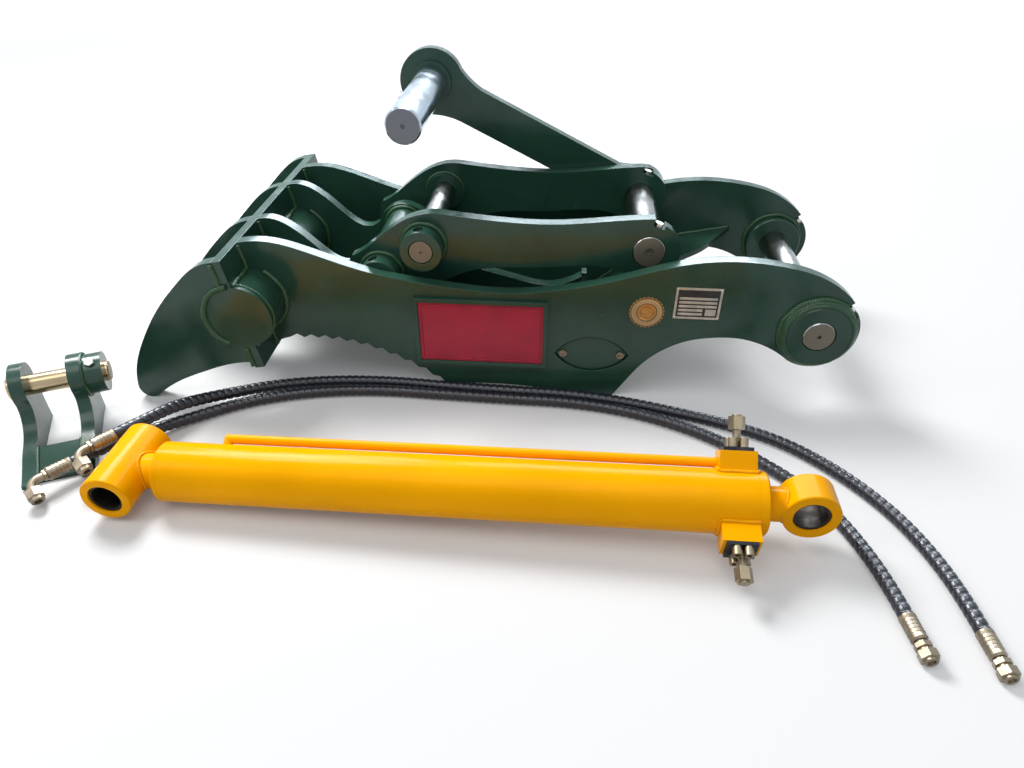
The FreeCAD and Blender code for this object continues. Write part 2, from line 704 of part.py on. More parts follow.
def pivot_boss(name, side):
    """A thick bush through a side plate, proud of both faces."""
    half = "plate_thick / 2"
    outer, inner = f"{half} + boss_out", f"{half} + boss_in"
    start, end = (f"-({outer})", inner) if side < 0 else (f"-({inner})", outer)
    bush = turned(name, [(start, "main_pin_dia / 2 + weld_gap"), (start, "boss_dia / 2 - boss_edge"),
                         (f"{start} + boss_edge", "boss_dia / 2"), (f"{end} - boss_edge", "boss_dia / 2"),
                         (end, "boss_dia / 2 - boss_edge"), (end, "main_pin_dia / 2 + weld_gap")], "Y")
    hole = lock_hole(name + "_bolt_hole", (0, 0), size("main_bolt_angle"))
    return cut(name, bush, hole)


near_boss, far_boss = pivot_boss("near_boss", -1), pivot_boss("far_boss", 1)
near_boss.setExpression(".Placement.Base.y", bound("(plate_thick - frame_width) / 2"))
far_boss.setExpression(".Placement.Base.y", bound("(frame_width - plate_thick) / 2"))
node("main_pivot_bosses", group("main_pivot_bosses", near_boss, far_boss), thumb_at())

main_angle = size("main_bolt_angle")
main_seat = notch_seat(size("end_radius"))
main_deep = size("main_pin_dia") / 2 - 14
main_blank = pin("main_pin", "main_pin_dia", "-main_pin_len / 2", "main_pin_len / 2", "3")
recesses = [cylinder(f"main_grease_{number}", "grease_dia / 2", "2 * grease_deep",
                     (0, side * (size("main_pin_len") / 2 + size("grease_deep")), 0), (0, -side, 0))
            for number, side in enumerate((-1, 1))]
main_holes = [lock_hole(f"main_pin_hole_{number}", (0, 0), main_angle, side * plate_y, main_deep - 1)
              for number, side in enumerate((-1, 1))]
node("main_pin", cut("main_pin", main_blank, *main_holes, *recesses), thumb_at())
node("main_pin_lock_bolts",
     group("main_pin_lock_bolts",
           lock_bolt("near_main_bolt", (0, 0), main_angle, -plate_y, main_deep, main_seat),
           lock_bolt("far_main_bolt", (0, 0), main_angle, plate_y, main_deep, main_seat)), thumb_at())

# Plates and cover on the near side

cover_body = new_body("heel_cover")
cover_sketch = sketch_in(cover_body, "XZ_Plane")
lens(cover_sketch, size("cover_long"), size("cover_high"), cover_centre)
pad(cover_body, cover_sketch, "cover_thick")
node("heel_cover", cover_body, thumb_at("cover_deep - cover_thick / 2 - weld_gap - frame_width / 2"))


def cover_bolt(name, share):
    x = cover_centre[0] + share * (size("cover_long") / 2 - 14)
    y = badge_y + size("cover_deep") - size("cover_thick") - size("weld_gap") * 2
    head = cylinder(name, "cover_bolt_dia", "5", (x, y, cover_centre[1]), (0, -1, 0))
    socket = hexagon(name + "_socket", "8", "8", (x, y - 3, cover_centre[1]), (0, -1, 0))
    return cut(name, head, socket)


node("heel_cover_bolts", group("heel_cover_bolts", cover_bolt("left_cover_bolt", -1),
                               cover_bolt("right_cover_bolt", 1)), thumb_at())

panel = box("badge_plate", "badge_long", "badge_thick", "badge_high", "-badge_x",
            "-frame_width / 2 - badge_thick / 2 - weld_gap", "-badge_z")
node("badge_panel", group("badge_panel", panel), thumb_at())
rim_outer = box("badge_rim_outer", "badge_long + 2 * badge_rim", "badge_thick + 3",
                "badge_high + 2 * badge_rim", "-badge_x",
                "-frame_width / 2 - badge_thick / 2 - 1.5 - weld_gap", "-badge_z")
rim_inner = box("badge_rim_inner", "badge_long + 1", "4 * badge_thick", "badge_high + 1", "-badge_x",
                "-frame_width / 2", "-badge_z")
node("badge_frame", cut("badge_frame", rim_outer, rim_inner), thumb_at())
label = box("label_plate", "label_long", "label_thick", "label_high", "-label_x",
            "-frame_width / 2 - label_thick / 2 - weld_gap", "label_z")
node("data_plate", group("data_plate", label), thumb_at())

# Link: two plates on three pins

link_pivot, ram_pin, arm_hinge = (link_x, link_z), (ram_pin_x, ram_pin_z), (hinge_x, hinge_z)
link_y = (size("link_width") - size("plate_thick")) / 2
hinge_bolt_angle = 75
node("link_pivot_tube",
     ring("link_pivot_tube", "link_pin_dia + 2 * hub_wall", "link_pin_dia + 2 * running_fit",
          "plate_thick + side_gap - link_width / 2", "link_width / 2 - plate_thick - side_gap"),
     lambda shape: (thumb_at()(shape),
                    shape.setExpression(".Placement.Base.x", bound("kit_x - link_pivot_x")),
                    shape.setExpression(".Placement.Base.z", bound("pivot_height + link_pivot_z"))))


def link_plate(name):
    """A boomerang plate: round at the pivot, high at the cylinder pin, shouldered at the hinge."""
    body = new_body(name)
    sketch = sketch_in(body, "XZ_Plane")
    shoulder, *notched = notch(arm_hinge, size("arm_hinge_eye"), hinge_bolt_angle, 8)
    pivot_eye = size("link_pivot_eye")
    outline = Outline(sketch, polar(link_pivot, pivot_eye, 150))
    outline.curve((link_x - 28, link_z + 54), (link_x - 1, link_z + 77), (ram_pin_x - 63, ram_pin_z + 34),
                  (ram_pin_x - 34, ram_pin_z + 52), (ram_pin_x + 1, ram_pin_z + 64),
                  (ram_pin_x + 36, ram_pin_z + 66))
    outline.curve((ram_pin_x + 140, ram_pin_z + 55), (hinge_x - 174, hinge_z + 53),
                  (hinge_x - 84, hinge_z + 62), shoulder)
    outline.line(*notched)
    outline.arc(polar(arm_hinge, size("arm_hinge_eye"), -20), polar(arm_hinge, size("arm_hinge_eye"), -105))
    outline.curve((hinge_x - 96, hinge_z - 36), (hinge_x - 220, hinge_z - 43),
                  (ram_pin_x + 110, ram_pin_z - 52), (ram_pin_x + 20, ram_pin_z - 90),
                  polar(link_pivot, pivot_eye, -75))
    outline.arc(polar(link_pivot, pivot_eye, 215), polar(link_pivot, pivot_eye, 150))
    outline.close()
    circle(sketch, "-link_pivot_x", "link_pivot_z", "link_pin_dia + 2 * weld_gap")
    circle(sketch, "ram_pin_x - link_pivot_x", "link_pivot_z + ram_pin_z", "link_pin_dia + 2 * weld_gap")
    circle(sketch, "arm_hinge_x - link_pivot_x", "link_pivot_z + arm_hinge_z",
           "hinge_pin_dia + 2 * weld_gap")
    pad(body, sketch, "plate_thick")
    return cut(name, body, lock_hole(name + "_bolt_hole", arm_hinge, hinge_bolt_angle))


node("near_link_plate", link_plate("near_link"), thumb_at("(plate_thick - link_width) / 2"))
node("far_link_plate", link_plate("far_link"), thumb_at("(link_width - plate_thick) / 2"))

collar_angle = {"pivot": 108, "ram": 98}
collar_y = size("link_width") / 2 + size("collar_len") / 2 + size("weld_gap")


def collar(name, centre, side, degrees):
    """A collar welded to a link plate's outer face, drilled for its lock bolt."""
    start = "(link_width / 2 + weld_gap)"
    ends = (start, f"{start} + collar_len") if side > 0 else (f"-{start} - collar_len", f"-{start}")
    blank = ring(name, "collar_dia", "link_pin_dia + 2 * weld_gap", *ends)
    blank.Placement = Placement(Vector(centre[0], 0, centre[1]), Rotation())
    hole = lock_hole(name + "_bolt_hole", centre, degrees, side * collar_y, 0, "collar_bolt_dia")
    return cut(name, blank, hole)


node("link_collars",
     group("link_collars", *[collar(f"{word}_collar_{number}", centre, side, collar_angle[word])
                             for word, centre in (("pivot", link_pivot), ("ram", ram_pin))
                             for number, side in enumerate((-1, 1))]), thumb_at())


def spacer(name, side):
    inside = "link_width / 2 - plate_thick - weld_gap"
    ends = (f"{inside} - spacer_len", inside) if side > 0 else (f"-({inside})", f"spacer_len - ({inside})")
    blank = ring(name, "collar_dia", "link_pin_dia + 2 * weld_gap", *ends)
    blank.Placement = Placement(Vector(ram_pin_x, 0, ram_pin_z), Rotation())
    return blank


node("cylinder_pin_spacers", group("cylinder_pin_spacers", spacer("near_spacer", -1),
                                   spacer("far_spacer", 1)), thumb_at())

short_pin_ends = ("1 - link_width / 2 - collar_len", "link_width / 2 + collar_len - 1")
short_deep = size("link_pin_dia") / 2 - 12


def short_pin(name, centre, degrees):
    """A link pin: ends flush with its collars, drilled for the lock bolts, a grease hole each end."""
    blank = pin(name, "link_pin_dia", *short_pin_ends, "2")
    blank.Placement = Placement(Vector(centre[0], 0, centre[1]), Rotation())
    reach = size("link_width") / 2 + size("collar_len")
    tools = []
    for number, side in enumerate((-1, 1)):
        tools.append(lock_hole(f"{name}_hole_{number}", centre, degrees, side * collar_y, short_deep - 1,
                               "collar_bolt_dia"))
        tools.append(cylinder(f"{name}_grease_{number}", "grease_dia / 3", "2 * grease_deep",
                              (centre[0], side * (reach + size("grease_deep")), centre[1]), (0, -side, 0)))
    return cut(name, blank, *tools)


node("link_pivot_pin", short_pin("link_pivot_pin", link_pivot, collar_angle["pivot"]), thumb_at())
node("cylinder_pin", short_pin("cylinder_pin", ram_pin, collar_angle["ram"]), thumb_at())


def collar_bolt(name, centre, side, degrees):
    """A socket screw sunk in a collar."""
    top = size("collar_dia") / 2 - size("collar_bolt_sunk")
    base, mouth = polar(centre, short_deep, degrees), polar(centre, top - 6, degrees)
    outward = polar((0, 0), 1, degrees)
    direction = (outward[0], 0, outward[1])
    y = side * collar_y
    shank = cylinder(name, "collar_bolt_dia", str(top - short_deep), (base[0], y, base[1]), direction)
    socket = hexagon(name + "_socket", "collar_bolt_dia * 0.6", "10", (mouth[0], y, mouth[1]), direction)
    return cut(name, shank, socket)


node("collar_lock_bolts",
     group("collar_lock_bolts", *[collar_bolt(f"{word}_bolt_{number}", centre, side, collar_angle[word])
                                  for word, centre in (("pivot", link_pivot), ("ram", ram_pin))
                                  for number, side in enumerate((-1, 1))]), thumb_at())

arm_inner = "link_width / 2 + side_gap"
arm_y = size("link_width") / 2 + size("side_gap") + size("plate_thick") / 2
hinge_deep = size("hinge_pin_dia") / 2 - 14
hinge_blank = pin("hinge_pin", "hinge_pin_dia", "-link_width / 2 - 1",
                  f"{arm_inner} + plate_thick + 1", "2")
hinge_blank.Placement = Placement(Vector(hinge_x, 0, hinge_z), Rotation())
hinge_tools = [lock_hole(f"hinge_pin_hole_{number}", arm_hinge, hinge_bolt_angle, side * link_y, hinge_deep - 1)
               for number, side in enumerate((-1, 1))]
hinge_tools.append(cylinder("hinge_grease", "grease_dia", "2 * grease_deep",
                            (hinge_x, -size("link_width") / 2 - 1 - size("grease_deep"), hinge_z), (0, 1, 0)))
node("arm_hinge_pin", cut("hinge_pin", hinge_blank, *hinge_tools), thumb_at())
hinge_seat = notch_seat(size("arm_hinge_eye"))
node("link_lock_bolts",
     group("link_lock_bolts", *[lock_bolt(f"hinge_bolt_{number}", arm_hinge, hinge_bolt_angle,
                                          side * link_y, hinge_deep, hinge_seat)
                                for number, side in enumerate((-1, 1))]), thumb_at())

# Arm: one plate with a long pin that faces the viewer

arm_pin_at = (arm_x, arm_z)
arm_line = math.degrees(math.atan2(arm_z - hinge_z, arm_x - hinge_x))
arm_bolt_angle = 206


def arm_plate(name):
    """A straight bar between two round eyes."""
    body = new_body(name)
    sketch = sketch_in(body, "XZ_Plane")
    run = Vector(arm_x - hinge_x, arm_z - hinge_z, 0)
    unit = run * (1 / run.Length)
    up = Vector(unit.y, -unit.x, 0)
    if up.y < 0:
        up = up * -1
    start, stop = Vector(hinge_x, hinge_z, 0), Vector(arm_x, arm_z, 0)
    pin_eye, hinge_eye = size("arm_pin_eye"), size("arm_hinge_eye")

    def beside(centre, distance, rise):
        point = centre + unit * distance + up * rise
        return (point.x, point.y)

    top, low = size("arm_above"), -size("arm_below")
    outline = Outline(sketch, beside(start, 70, top))
    outline.line(beside(stop, -pin_eye - 34, top))
    outline.curve(beside(stop, -pin_eye - 10, top + 5), polar(arm_pin_at, pin_eye, arm_line - 132))
    outline.arc(polar(arm_pin_at, pin_eye, arm_line), polar(arm_pin_at, pin_eye, arm_line + 118))
    outline.curve(beside(stop, -pin_eye + 8, low - 4), beside(stop, -pin_eye - 30, low))
    outline.line(beside(start, 60, low))
    outline.curve(beside(start, 28, low - 5), polar(arm_hinge, hinge_eye, arm_line + 100))
    outline.arc(polar(arm_hinge, hinge_eye, arm_line - 180), polar(arm_hinge, hinge_eye, arm_line - 80))
    outline.curve(beside(start, 44, top + 10), beside(start, 70, top))
    outline.close()
    circle(sketch, "arm_hinge_x - link_pivot_x", "link_pivot_z + arm_hinge_z",
           "hinge_pin_dia + 2 * running_fit")
    circle(sketch, "arm_hinge_x - link_pivot_x - arm_pin_x", "link_pivot_z + arm_hinge_z + arm_pin_z",
           "arm_seat_dia + 2 * weld_gap")
    pad(body, sketch, "plate_thick")
    return cut(name, body, lock_hole(name + "_bolt_hole", arm_pin_at, arm_bolt_angle))


node("arm_plate", arm_plate("arm_plate"), thumb_at(f"{arm_inner} + plate_thick / 2"))
arm_near_end, arm_far_end = f"{arm_inner} - arm_pin_free", f"{arm_inner} + plate_thick + 2"
arm_seat, arm_seat_edge = f"{arm_inner} - washer_thick - side_gap", "arm_seat_dia / 2"
arm_pin_blank = turned("arm_pin", [(arm_near_end, "0"), (arm_near_end, "arm_pin_dia / 2 - 3"),
                                   (f"{arm_near_end} + 3", "arm_pin_dia / 2"), (arm_seat, "arm_pin_dia / 2"),
                                   (arm_seat, arm_seat_edge), (f"{arm_far_end} - 3", arm_seat_edge),
                                   (arm_far_end, f"{arm_seat_edge} - 3"), (arm_far_end, "0")], "Y")
arm_pin_blank.Placement = Placement(Vector(arm_x, 0, arm_z), Rotation())
arm_deep = size("arm_seat_dia") / 2 - 14
arm_near = size("link_width") / 2 + size("side_gap") - size("arm_pin_free")
arm_grease = cylinder("arm_pin_centre", "grease_dia / 2", "2 * grease_deep",
                      (arm_x, arm_near - size("grease_deep"), arm_z), (0, 1, 0))
arm_hole = lock_hole("arm_pin_hole", arm_pin_at, arm_bolt_angle, arm_y, arm_deep - 1)
node("arm_pin", cut("arm_pin", arm_pin_blank, arm_hole, arm_grease), thumb_at())
arm_washer = ring("arm_washer", "washer_dia", "arm_seat_dia + 2 * weld_gap",
                  f"{arm_inner} - weld_gap - washer_thick", f"{arm_inner} - weld_gap")
arm_washer.Placement = Placement(Vector(arm_x, 0, arm_z), Rotation())
node("arm_pin_washer", group("arm_pin_washer", arm_washer), thumb_at())
arm_bolt_out = polar((0, 0), 1, arm_bolt_angle)
washer_at = polar(arm_pin_at, size("arm_pin_eye") + 8, arm_bolt_angle)
bolt_washer = cylinder("arm_bolt_washer", "lock_head_dia + 4", "3", (washer_at[0], arm_y, washer_at[1]),
                       (arm_bolt_out[0], 0, arm_bolt_out[1]))
node("arm_lock_bolt",
     fuse("arm_bolt", lock_bolt("arm_lock_bolt", arm_pin_at, arm_bolt_angle, arm_y, arm_deep,
                                size("arm_pin_eye") + 11), bolt_washer), thumb_at())

# Cylinder, along +X from its base eye

barrel_body_end = "barrel_end - gland_flange"
piston_start = "barrel_start + spigot_len + piston_nut_len + 4"
piston_at = f"({piston_start})"
rod_eye_x = size("barrel_end") + size("rod_eye_gap") + size("rod_eye_dia") / 2


def port_degrees(front):
    return size("front_port_angle") if front else size("rear_port_angle")


def port_way(name, front):
    """The oil way through the port block."""
    angle = math.radians(port_degrees(front))
    side = -1 if front else 1
    return cylinder(name, "port_bore", "barrel_dia", (size("port_x"), 0, 0),
                    (0, side * math.cos(angle), side * math.sin(angle)))


barrel = ring("barrel", "barrel_dia", "barrel_bore", "barrel_start", f"{barrel_body_end} - weld_gap", "X")
node("cylinder_barrel", group("cylinder_barrel", barrel), ram_frame)
eye_reach = math.sqrt((size("base_eye_dia") / 2) ** 2 - (size("neck_dia") / 2) ** 2)
cap_blank = turned("base_cap", [(str(eye_reach - 8), "0"), (str(eye_reach - 8), "neck_dia / 2"),
                                ("barrel_start - base_cap_thick", "neck_dia / 2"),
                                ("barrel_start - base_cap_thick", "barrel_dia / 2 - 4"),
                                ("barrel_start - base_cap_thick + 4", "barrel_dia / 2"),
                                ("barrel_start - weld_gap", "barrel_dia / 2"),
                                ("barrel_start - weld_gap", "barrel_bore / 2 - weld_gap"),
                                ("barrel_start + spigot_len", "barrel_bore / 2 - weld_gap"),
                                ("barrel_start + spigot_len", "0")], "X")
eye_saddle = cylinder("base_eye_saddle", "base_eye_dia + 2 * weld_gap", "base_eye_len + 10",
                      (0, -size("base_eye_len") / 2 - 5, 0), (0, 1, 0))
node("cylinder_base_cap", cut("base_cap", cap_blank, eye_saddle), ram_frame)


def eye(name, diameter, length):
    half = f"{length} / 2"
    return turned(name, [(f"-{half}", "eye_bush_dia / 2 + weld_gap"), (f"-{half}", f"{diameter} / 2 - 2"),
                         (f"2 - {half}", f"{diameter} / 2"), (f"{half} - 2", f"{diameter} / 2"),
                         (half, f"{diameter} / 2 - 2"), (half, "eye_bush_dia / 2 + weld_gap")], "Y")


def eye_bush(name, length):
    half = f"({length} / 2 - bush_recess)"
    return ring(name, "eye_bush_dia", "eye_bore", f"-{half}", half)


node("base_eye", eye("base_eye", "base_eye_dia", "base_eye_len"), ram_frame)
node("base_eye_bush", eye_bush("base_bush", "base_eye_len"), ram_frame)
node("cylinder_gland",
     turned("gland", [("barrel_end - gland_len", "rod_dia / 2 + running_fit"),
                      ("barrel_end - gland_len", "barrel_bore / 2 - weld_gap"),
                      (barrel_body_end, "barrel_bore / 2 - weld_gap"), (barrel_body_end, "barrel_dia / 2"),
                      ("barrel_end - 3", "barrel_dia / 2"), ("barrel_end", "barrel_dia / 2 - 3"),
                      ("barrel_end", "rod_dia / 2 + running_fit")], "X"), ram_frame)


def port_frame(front):
    """Turn a piece that was built along -Y to the front or the rear port."""
    turn = port_degrees(front) + (0 if front else 180)
    return Placement(Vector(size("port_x"), 0, 0), Rotation(Vector(1, 0, 0), turn))


def port_block(name, front):
    proud = "port_proud + barrel_dia / 2"
    block = box(name + "_block", "port_long", f"({proud}) / 2 + 12", "port_wide")
    block.setExpression(".Placement.Base.y", bound(f"-({proud})"))
    carrier = group(name + "_turned", block)
    carrier.Placement = port_frame(front)
    saddle = cylinder(name + "_saddle", "barrel_dia + 2 * weld_gap", "2 * port_long",
                      (size("port_x") - size("port_long"), 0, 0), (1, 0, 0))
    way = port_way(name + "_way", front)
    if not front:
        pipe_hole = cylinder(name + "_pipe_hole", "pipe_dia + 2 * weld_gap", "port_long / 2", pipe_point(
            size("port_x") - size("port_long")), (1, 0, 0))
        return cut(name, carrier, saddle, way, pipe_hole)
    return cut(name, carrier, saddle, way)


def pipe_point(x):
    """A point on the transfer pipe's line along the barrel."""
    angle = math.radians(size("pipe_angle"))
    radius = (size("barrel_dia") + size("pipe_dia")) / 2 + 2
    return (x, radius * math.cos(angle), radius * math.sin(angle))


node("port_blocks", group("port_blocks", port_block("front_port", True), port_block("rear_port", False)),
     ram_frame)


pipe_start_point = pipe_point(size("pipe_start"))
straight = cylinder("pipe_straight", "pipe_dia", "port_x - port_long / 2 - pipe_start - 0.2",
                    pipe_start_point, (1, 0, 0))
pipe_angle = math.radians(size("pipe_angle"))
foot = cylinder("pipe_foot", "pipe_dia", "pipe_dia / 2 + 4", pipe_start_point,
                (0, -math.cos(pipe_angle), -math.sin(pipe_angle)))
knee = doc.addObject("Part::Sphere", "pipe_knee")
knee.setExpression("Radius", bound("pipe_dia / 2"))
knee.Placement = Placement(Vector(*pipe_start_point), Rotation())
pipe_saddle = cylinder("pipe_saddle", "barrel_dia + 2 * weld_gap", "4 * pipe_dia",
                       (size("pipe_start") - 2 * size("pipe_dia"), 0, 0), (1, 0, 0))
node("transfer_pipe", cut("transfer_pipe", fuse("transfer_pipe", straight, foot, knee), pipe_saddle), ram_frame)


def port_stack(name, pieces, front):
    """Pieces on a port, stacked outwards along -Y and then turned to the port."""
    carrier = group(name, *pieces)
    carrier.Placement = port_frame(front)
    return carrier


face = size("barrel_dia") / 2 + size("port_proud")
flange_top = face + size("weld_gap") + size("flange_thick")


def port_flange(name, front):
    plate = box(name + "_plate", "port_long * 0.8", "flange_thick", "port_wide", "0",
                "-(barrel_dia / 2 + port_proud + weld_gap + flange_thick / 2)", "0")
    way = cylinder(name + "_way", "port_bore", "4 * flange_thick", (0, -flange_top - 5, 0), (0, 1, 0))
    return port_stack(name + "_turned", [cut(name, plate, way)], front)


def port_bolts(name, front):
    pieces = []
    for number, (along_x, across_z) in enumerate(((-1, -1), (1, -1), (1, 1), (-1, 1))):
        x, z = along_x * size("port_bolt_x"), across_z * size("port_bolt_z")
        head = cylinder(f"{name}_{number}", "port_bolt_dia", "port_bolt_high",
                        (x, -flange_top - size("weld_gap"), z), (0, -1, 0))
        socket = hexagon(f"{name}_socket_{number}", "port_bolt_dia * 0.55", "port_bolt_high",
                         (x, -flange_top - size("port_bolt_high") * 0.6, z), (0, -1, 0))
        pieces.append(cut(f"{name}_{number}", head, socket))
    return port_stack(name + "_turned", pieces, front)


def port_adapter(name, front):
    base = "(barrel_dia / 2 + port_proud + 2 * weld_gap + flange_thick)"
    tip = f"({base} + adapter_len - weld_gap)"
    collar_edge, neck_edge = "adapter_dia / 2", "adapter_neck / 2"
    corners = [(f"-{base}", "0"), (f"-{base}", collar_edge), (f"-{base} - adapter_len * 0.3", collar_edge),
               (f"-{base} - adapter_len * 0.45", neck_edge), (f"-{tip}", neck_edge), (f"-{tip}", "0")]
    return port_stack(name + "_turned", [turned(name, corners, "Y")], front)


def port_cap(name, front):
    base = flange_top + size("adapter_len") + size("weld_gap")
    nut = hexagon(name + "_nut", "cap_across", "cap_high", (0, -base, 0), (0, -1, 0))
    plug = cylinder(name + "_plug", "plug_dia", "plug_high", (0, -base, 0), (0, -1, 0))
    return port_stack(name + "_turned", [fuse(name, nut, plug)], front)


for name, makers in (("port_flanges", [port_flange]), ("port_bolts", [port_bolts]),
                     ("port_fittings", [port_adapter, port_cap])):
    pieces = [maker(f"{side}_{maker.__name__}", side == "front") for maker in makers
              for side in ("front", "rear")]
    node(name, group(name, *pieces), ram_frame)

node("piston_rod",
     turned("piston_rod", [(f"{piston_at} - piston_nut_len", "0"), (f"{piston_at} - piston_nut_len", "16"),
                           (f"{piston_at} + piston_len", "16"), (f"{piston_at} + piston_len", "rod_dia / 2"),
                           ("barrel_end + side_gap", "rod_dia / 2"), ("barrel_end + side_gap", "0")], "X"),
     ram_frame)
node("piston",
     turned("piston", [(piston_start, "16 + weld_gap"), (piston_start, "barrel_bore / 2 - 1"),
                       (f"{piston_at} + 14", "barrel_bore / 2 - 1"), (f"{piston_at} + 14", "barrel_bore / 2 - 6"),
                       (f"{piston_at} + piston_len - 14", "barrel_bore / 2 - 6"),
                       (f"{piston_at} + piston_len - 14", "barrel_bore / 2 - 1"),
                       (f"{piston_at} + piston_len - weld_gap", "barrel_bore / 2 - 1"),
                       (f"{piston_at} + piston_len - weld_gap", "16 + weld_gap")], "X"), ram_frame)
node("piston_seal", ring("piston_seal", "barrel_bore - 2 * running_fit", "barrel_bore - 12 + 2 * weld_gap",
                         f"{piston_at} + 14 + weld_gap", f"{piston_at} + piston_len - 14 - weld_gap", "X"),
     ram_frame)
nut_blank = hexagon("piston_nut_blank", "58", "piston_nut_len - 2",
                    (size("barrel_start") + size("spigot_len") + 5.9, 0, 0), (1, 0, 0))
nut_hole = cylinder("piston_nut_hole", "32 + 2 * weld_gap", "4 * piston_nut_len",
                    (size("barrel_start") + size("spigot_len") - 20, 0, 0), (1, 0, 0))
node("piston_nut", cut("piston_nut", nut_blank, nut_hole), ram_frame)


def rod_eye():
    """The rod eye and the short boss that joins it to the rod."""
    ring_part = eye("rod_eye_ring", "rod_eye_dia", "rod_eye_len")
    ring_part.Placement = Placement(Vector(rod_eye_x, 0, 0), Rotation())
    start, end = "barrel_end + side_gap + weld_gap", "barrel_end + rod_eye_gap + rod_eye_dia / 4"
    boss = turned("rod_eye_boss", [(start, "0"), (start, "rod_dia / 2"), (f"{start} + 4", "rod_neck_dia / 2"),
                                   (end, "rod_neck_dia / 2"), (end, "0")], "X")
    bore = cylinder("rod_eye_clear", "eye_bush_dia + 2 * weld_gap", "2 * rod_eye_len",
                    (rod_eye_x, -size("rod_eye_len"), 0), (0, 1, 0))
    return cut("rod_eye", fuse("rod_eye", ring_part, boss), bore)


node("rod_eye", rod_eye(), ram_frame)
rod_bush = eye_bush("rod_bush", "rod_eye_len")
rod_bush.Placement = Placement(Vector(rod_eye_x, 0, 0), Rotation())
node("rod_eye_bush", group("rod_eye_bush", rod_bush), ram_frame)

# Cylinder bracket, in its own frame: +X towards its toe, +Y along its pin to the right-hand ear

bracket_eye = (0, size("bracket_pin_high"))


def ear(name):
    """A weld-on ear: flat foot, long sloping front, round eye."""
    body = new_body(name)
    sketch = sketch_in(body, "XZ_Plane")
    radius, foot, heel = size("ear_eye"), size("ear_foot"), size("ear_heel")
    outline = Outline(sketch, (-heel, 0))
    outline.line((foot - 6, 0), (foot, 5), (foot - 4, 10))
    outline.curve((foot * 0.81, 19), (foot * 0.64, 30), (foot * 0.38, 44), (foot * 0.235, 72),
                  polar(bracket_eye, radius, -10))
    outline.arc(polar(bracket_eye, radius, 90), polar(bracket_eye, radius, 186))
    outline.curve((-heel + 2, bracket_eye[1] * 0.5), (-heel, 0))
    outline.close()
    circle(sketch, "0", "bracket_pin_high", "bracket_pin_dia + 2 * weld_gap")
    pad(body, sketch, "ear_thick")
    return body


def at_ear(side):
    """An ear's mid-plane beside the first ear, in the bracket's frame."""
    return side * (size("ear_gap") + size("ear_thick"))


left_ear, right_ear = ear("left_ear"), ear("right_ear")
right_ear.setExpression(".Placement.Base.y", bound("ear_gap + ear_thick"))
node("bracket_ears", group("bracket_ears", left_ear, right_ear), bracket_frame)
web = new_body("bracket_web")
polygon(sketch_in(web, "XZ_Plane"), [("ear_foot / 2 + 8", "0"), ("ear_foot - 16", "0"),
                                     ("ear_foot - 16", "8"), ("ear_foot / 2 + 8", "32")])
pad(web, web.Group[0], "ear_gap - 2 * weld_gap")
web.setExpression(".Placement.Base.y", bound("(ear_gap + ear_thick) / 2"))
node("bracket_web", group("bracket_web", web), bracket_frame)
head_start, head_end = "-ear_thick / 2 - 1 - bracket_head_len", "-ear_thick / 2 - 1"
pin_end = "ear_gap + ear_thick * 1.5 + collar_out + bracket_pin_proud"
head_edge, pin_edge = "bracket_head_dia / 2", "bracket_pin_dia / 2"
bracket_blank = turned("bracket_pin", [(head_start, "0"), (head_start, f"{head_edge} - 2"),
                                       (f"{head_start} + 2", head_edge), (head_end, head_edge),
                                       (head_end, pin_edge), (f"{pin_end} - 2", pin_edge),
                                       (pin_end, f"{pin_edge} - 2"), (pin_end, "0")], "Y")
bracket_blank.Placement = Placement(Vector(0, 0, size("bracket_pin_high")), Rotation())
bracket_bolt_y = at_ear(1) + size("ear_thick") / 2 + size("collar_out") / 2
bracket_deep = size("bracket_pin_dia") / 2 - 10
bracket_hole = lock_hole("bracket_pin_hole", bracket_eye, 60, bracket_bolt_y, bracket_deep - 1)
node("bracket_pin", cut("bracket_pin", bracket_blank, bracket_hole), bracket_frame)
bracket_ring = ring("bracket_ring", "bracket_collar_dia", "bracket_pin_dia + 2 * weld_gap",
                    "ear_gap + ear_thick * 1.5 + weld_gap", "ear_gap + ear_thick * 1.5 + collar_out")
bracket_ring.Placement = Placement(Vector(0, 0, size("bracket_pin_high")), Rotation())
collar_hole = lock_hole("bracket_collar_hole", bracket_eye, 60, bracket_bolt_y)
node("bracket_collar", cut("bracket_collar", bracket_ring, collar_hole), bracket_frame)
node("bracket_lock_bolt", lock_bolt("bracket_lock_bolt", bracket_eye, 60, bracket_bolt_y, bracket_deep,
                                    size("bracket_collar_dia") / 2 + 1), bracket_frame)

# Hoses: points from the main pin axis on the mid-plane (x, y) and above the floor (z)

FRONT_HOSE = [(-1400, -564, 34), (-1361, -511, 32), (-1316, -450, 21), (-1248, -388, 12.2),
              (-1160, -326, 12.2), (-1040, -283, 12.2), (-895, -264, 12.2), (-750, -270, 12.2),
              (-610, -275, 12.2), (-480, -277, 12.2), (-362, -298, 12.2), (-262, -336, 12.2),
              (-184, -382, 12.2), (-118, -438, 12.2), (-60, -498, 12.2), (-16, -568, 12.2),
              (10, -648, 13.5), (24, -724, 16.5), (30, -780, 16.5)]
BACK_HOSE = [(-1336, -512, 62), (-1302, -456, 58), (-1268, -392, 48), (-1210, -322, 24),
             (-1120, -264, 12.2), (-1000, -238, 12.2), (-870, -231, 12.2), (-740, -241, 12.2),
             (-610, -247, 12.2), (-490, -249, 12.2), (-372, -266, 12.2), (-262, -296, 12.2),
             (-160, -328, 12.2), (-76, -368, 12.2), (-12, -420, 12.2), (44, -486, 12.2),
             (88, -560, 12.2), (116, -642, 13.5), (130, -730, 16.5), (134, -800, 16.5)]


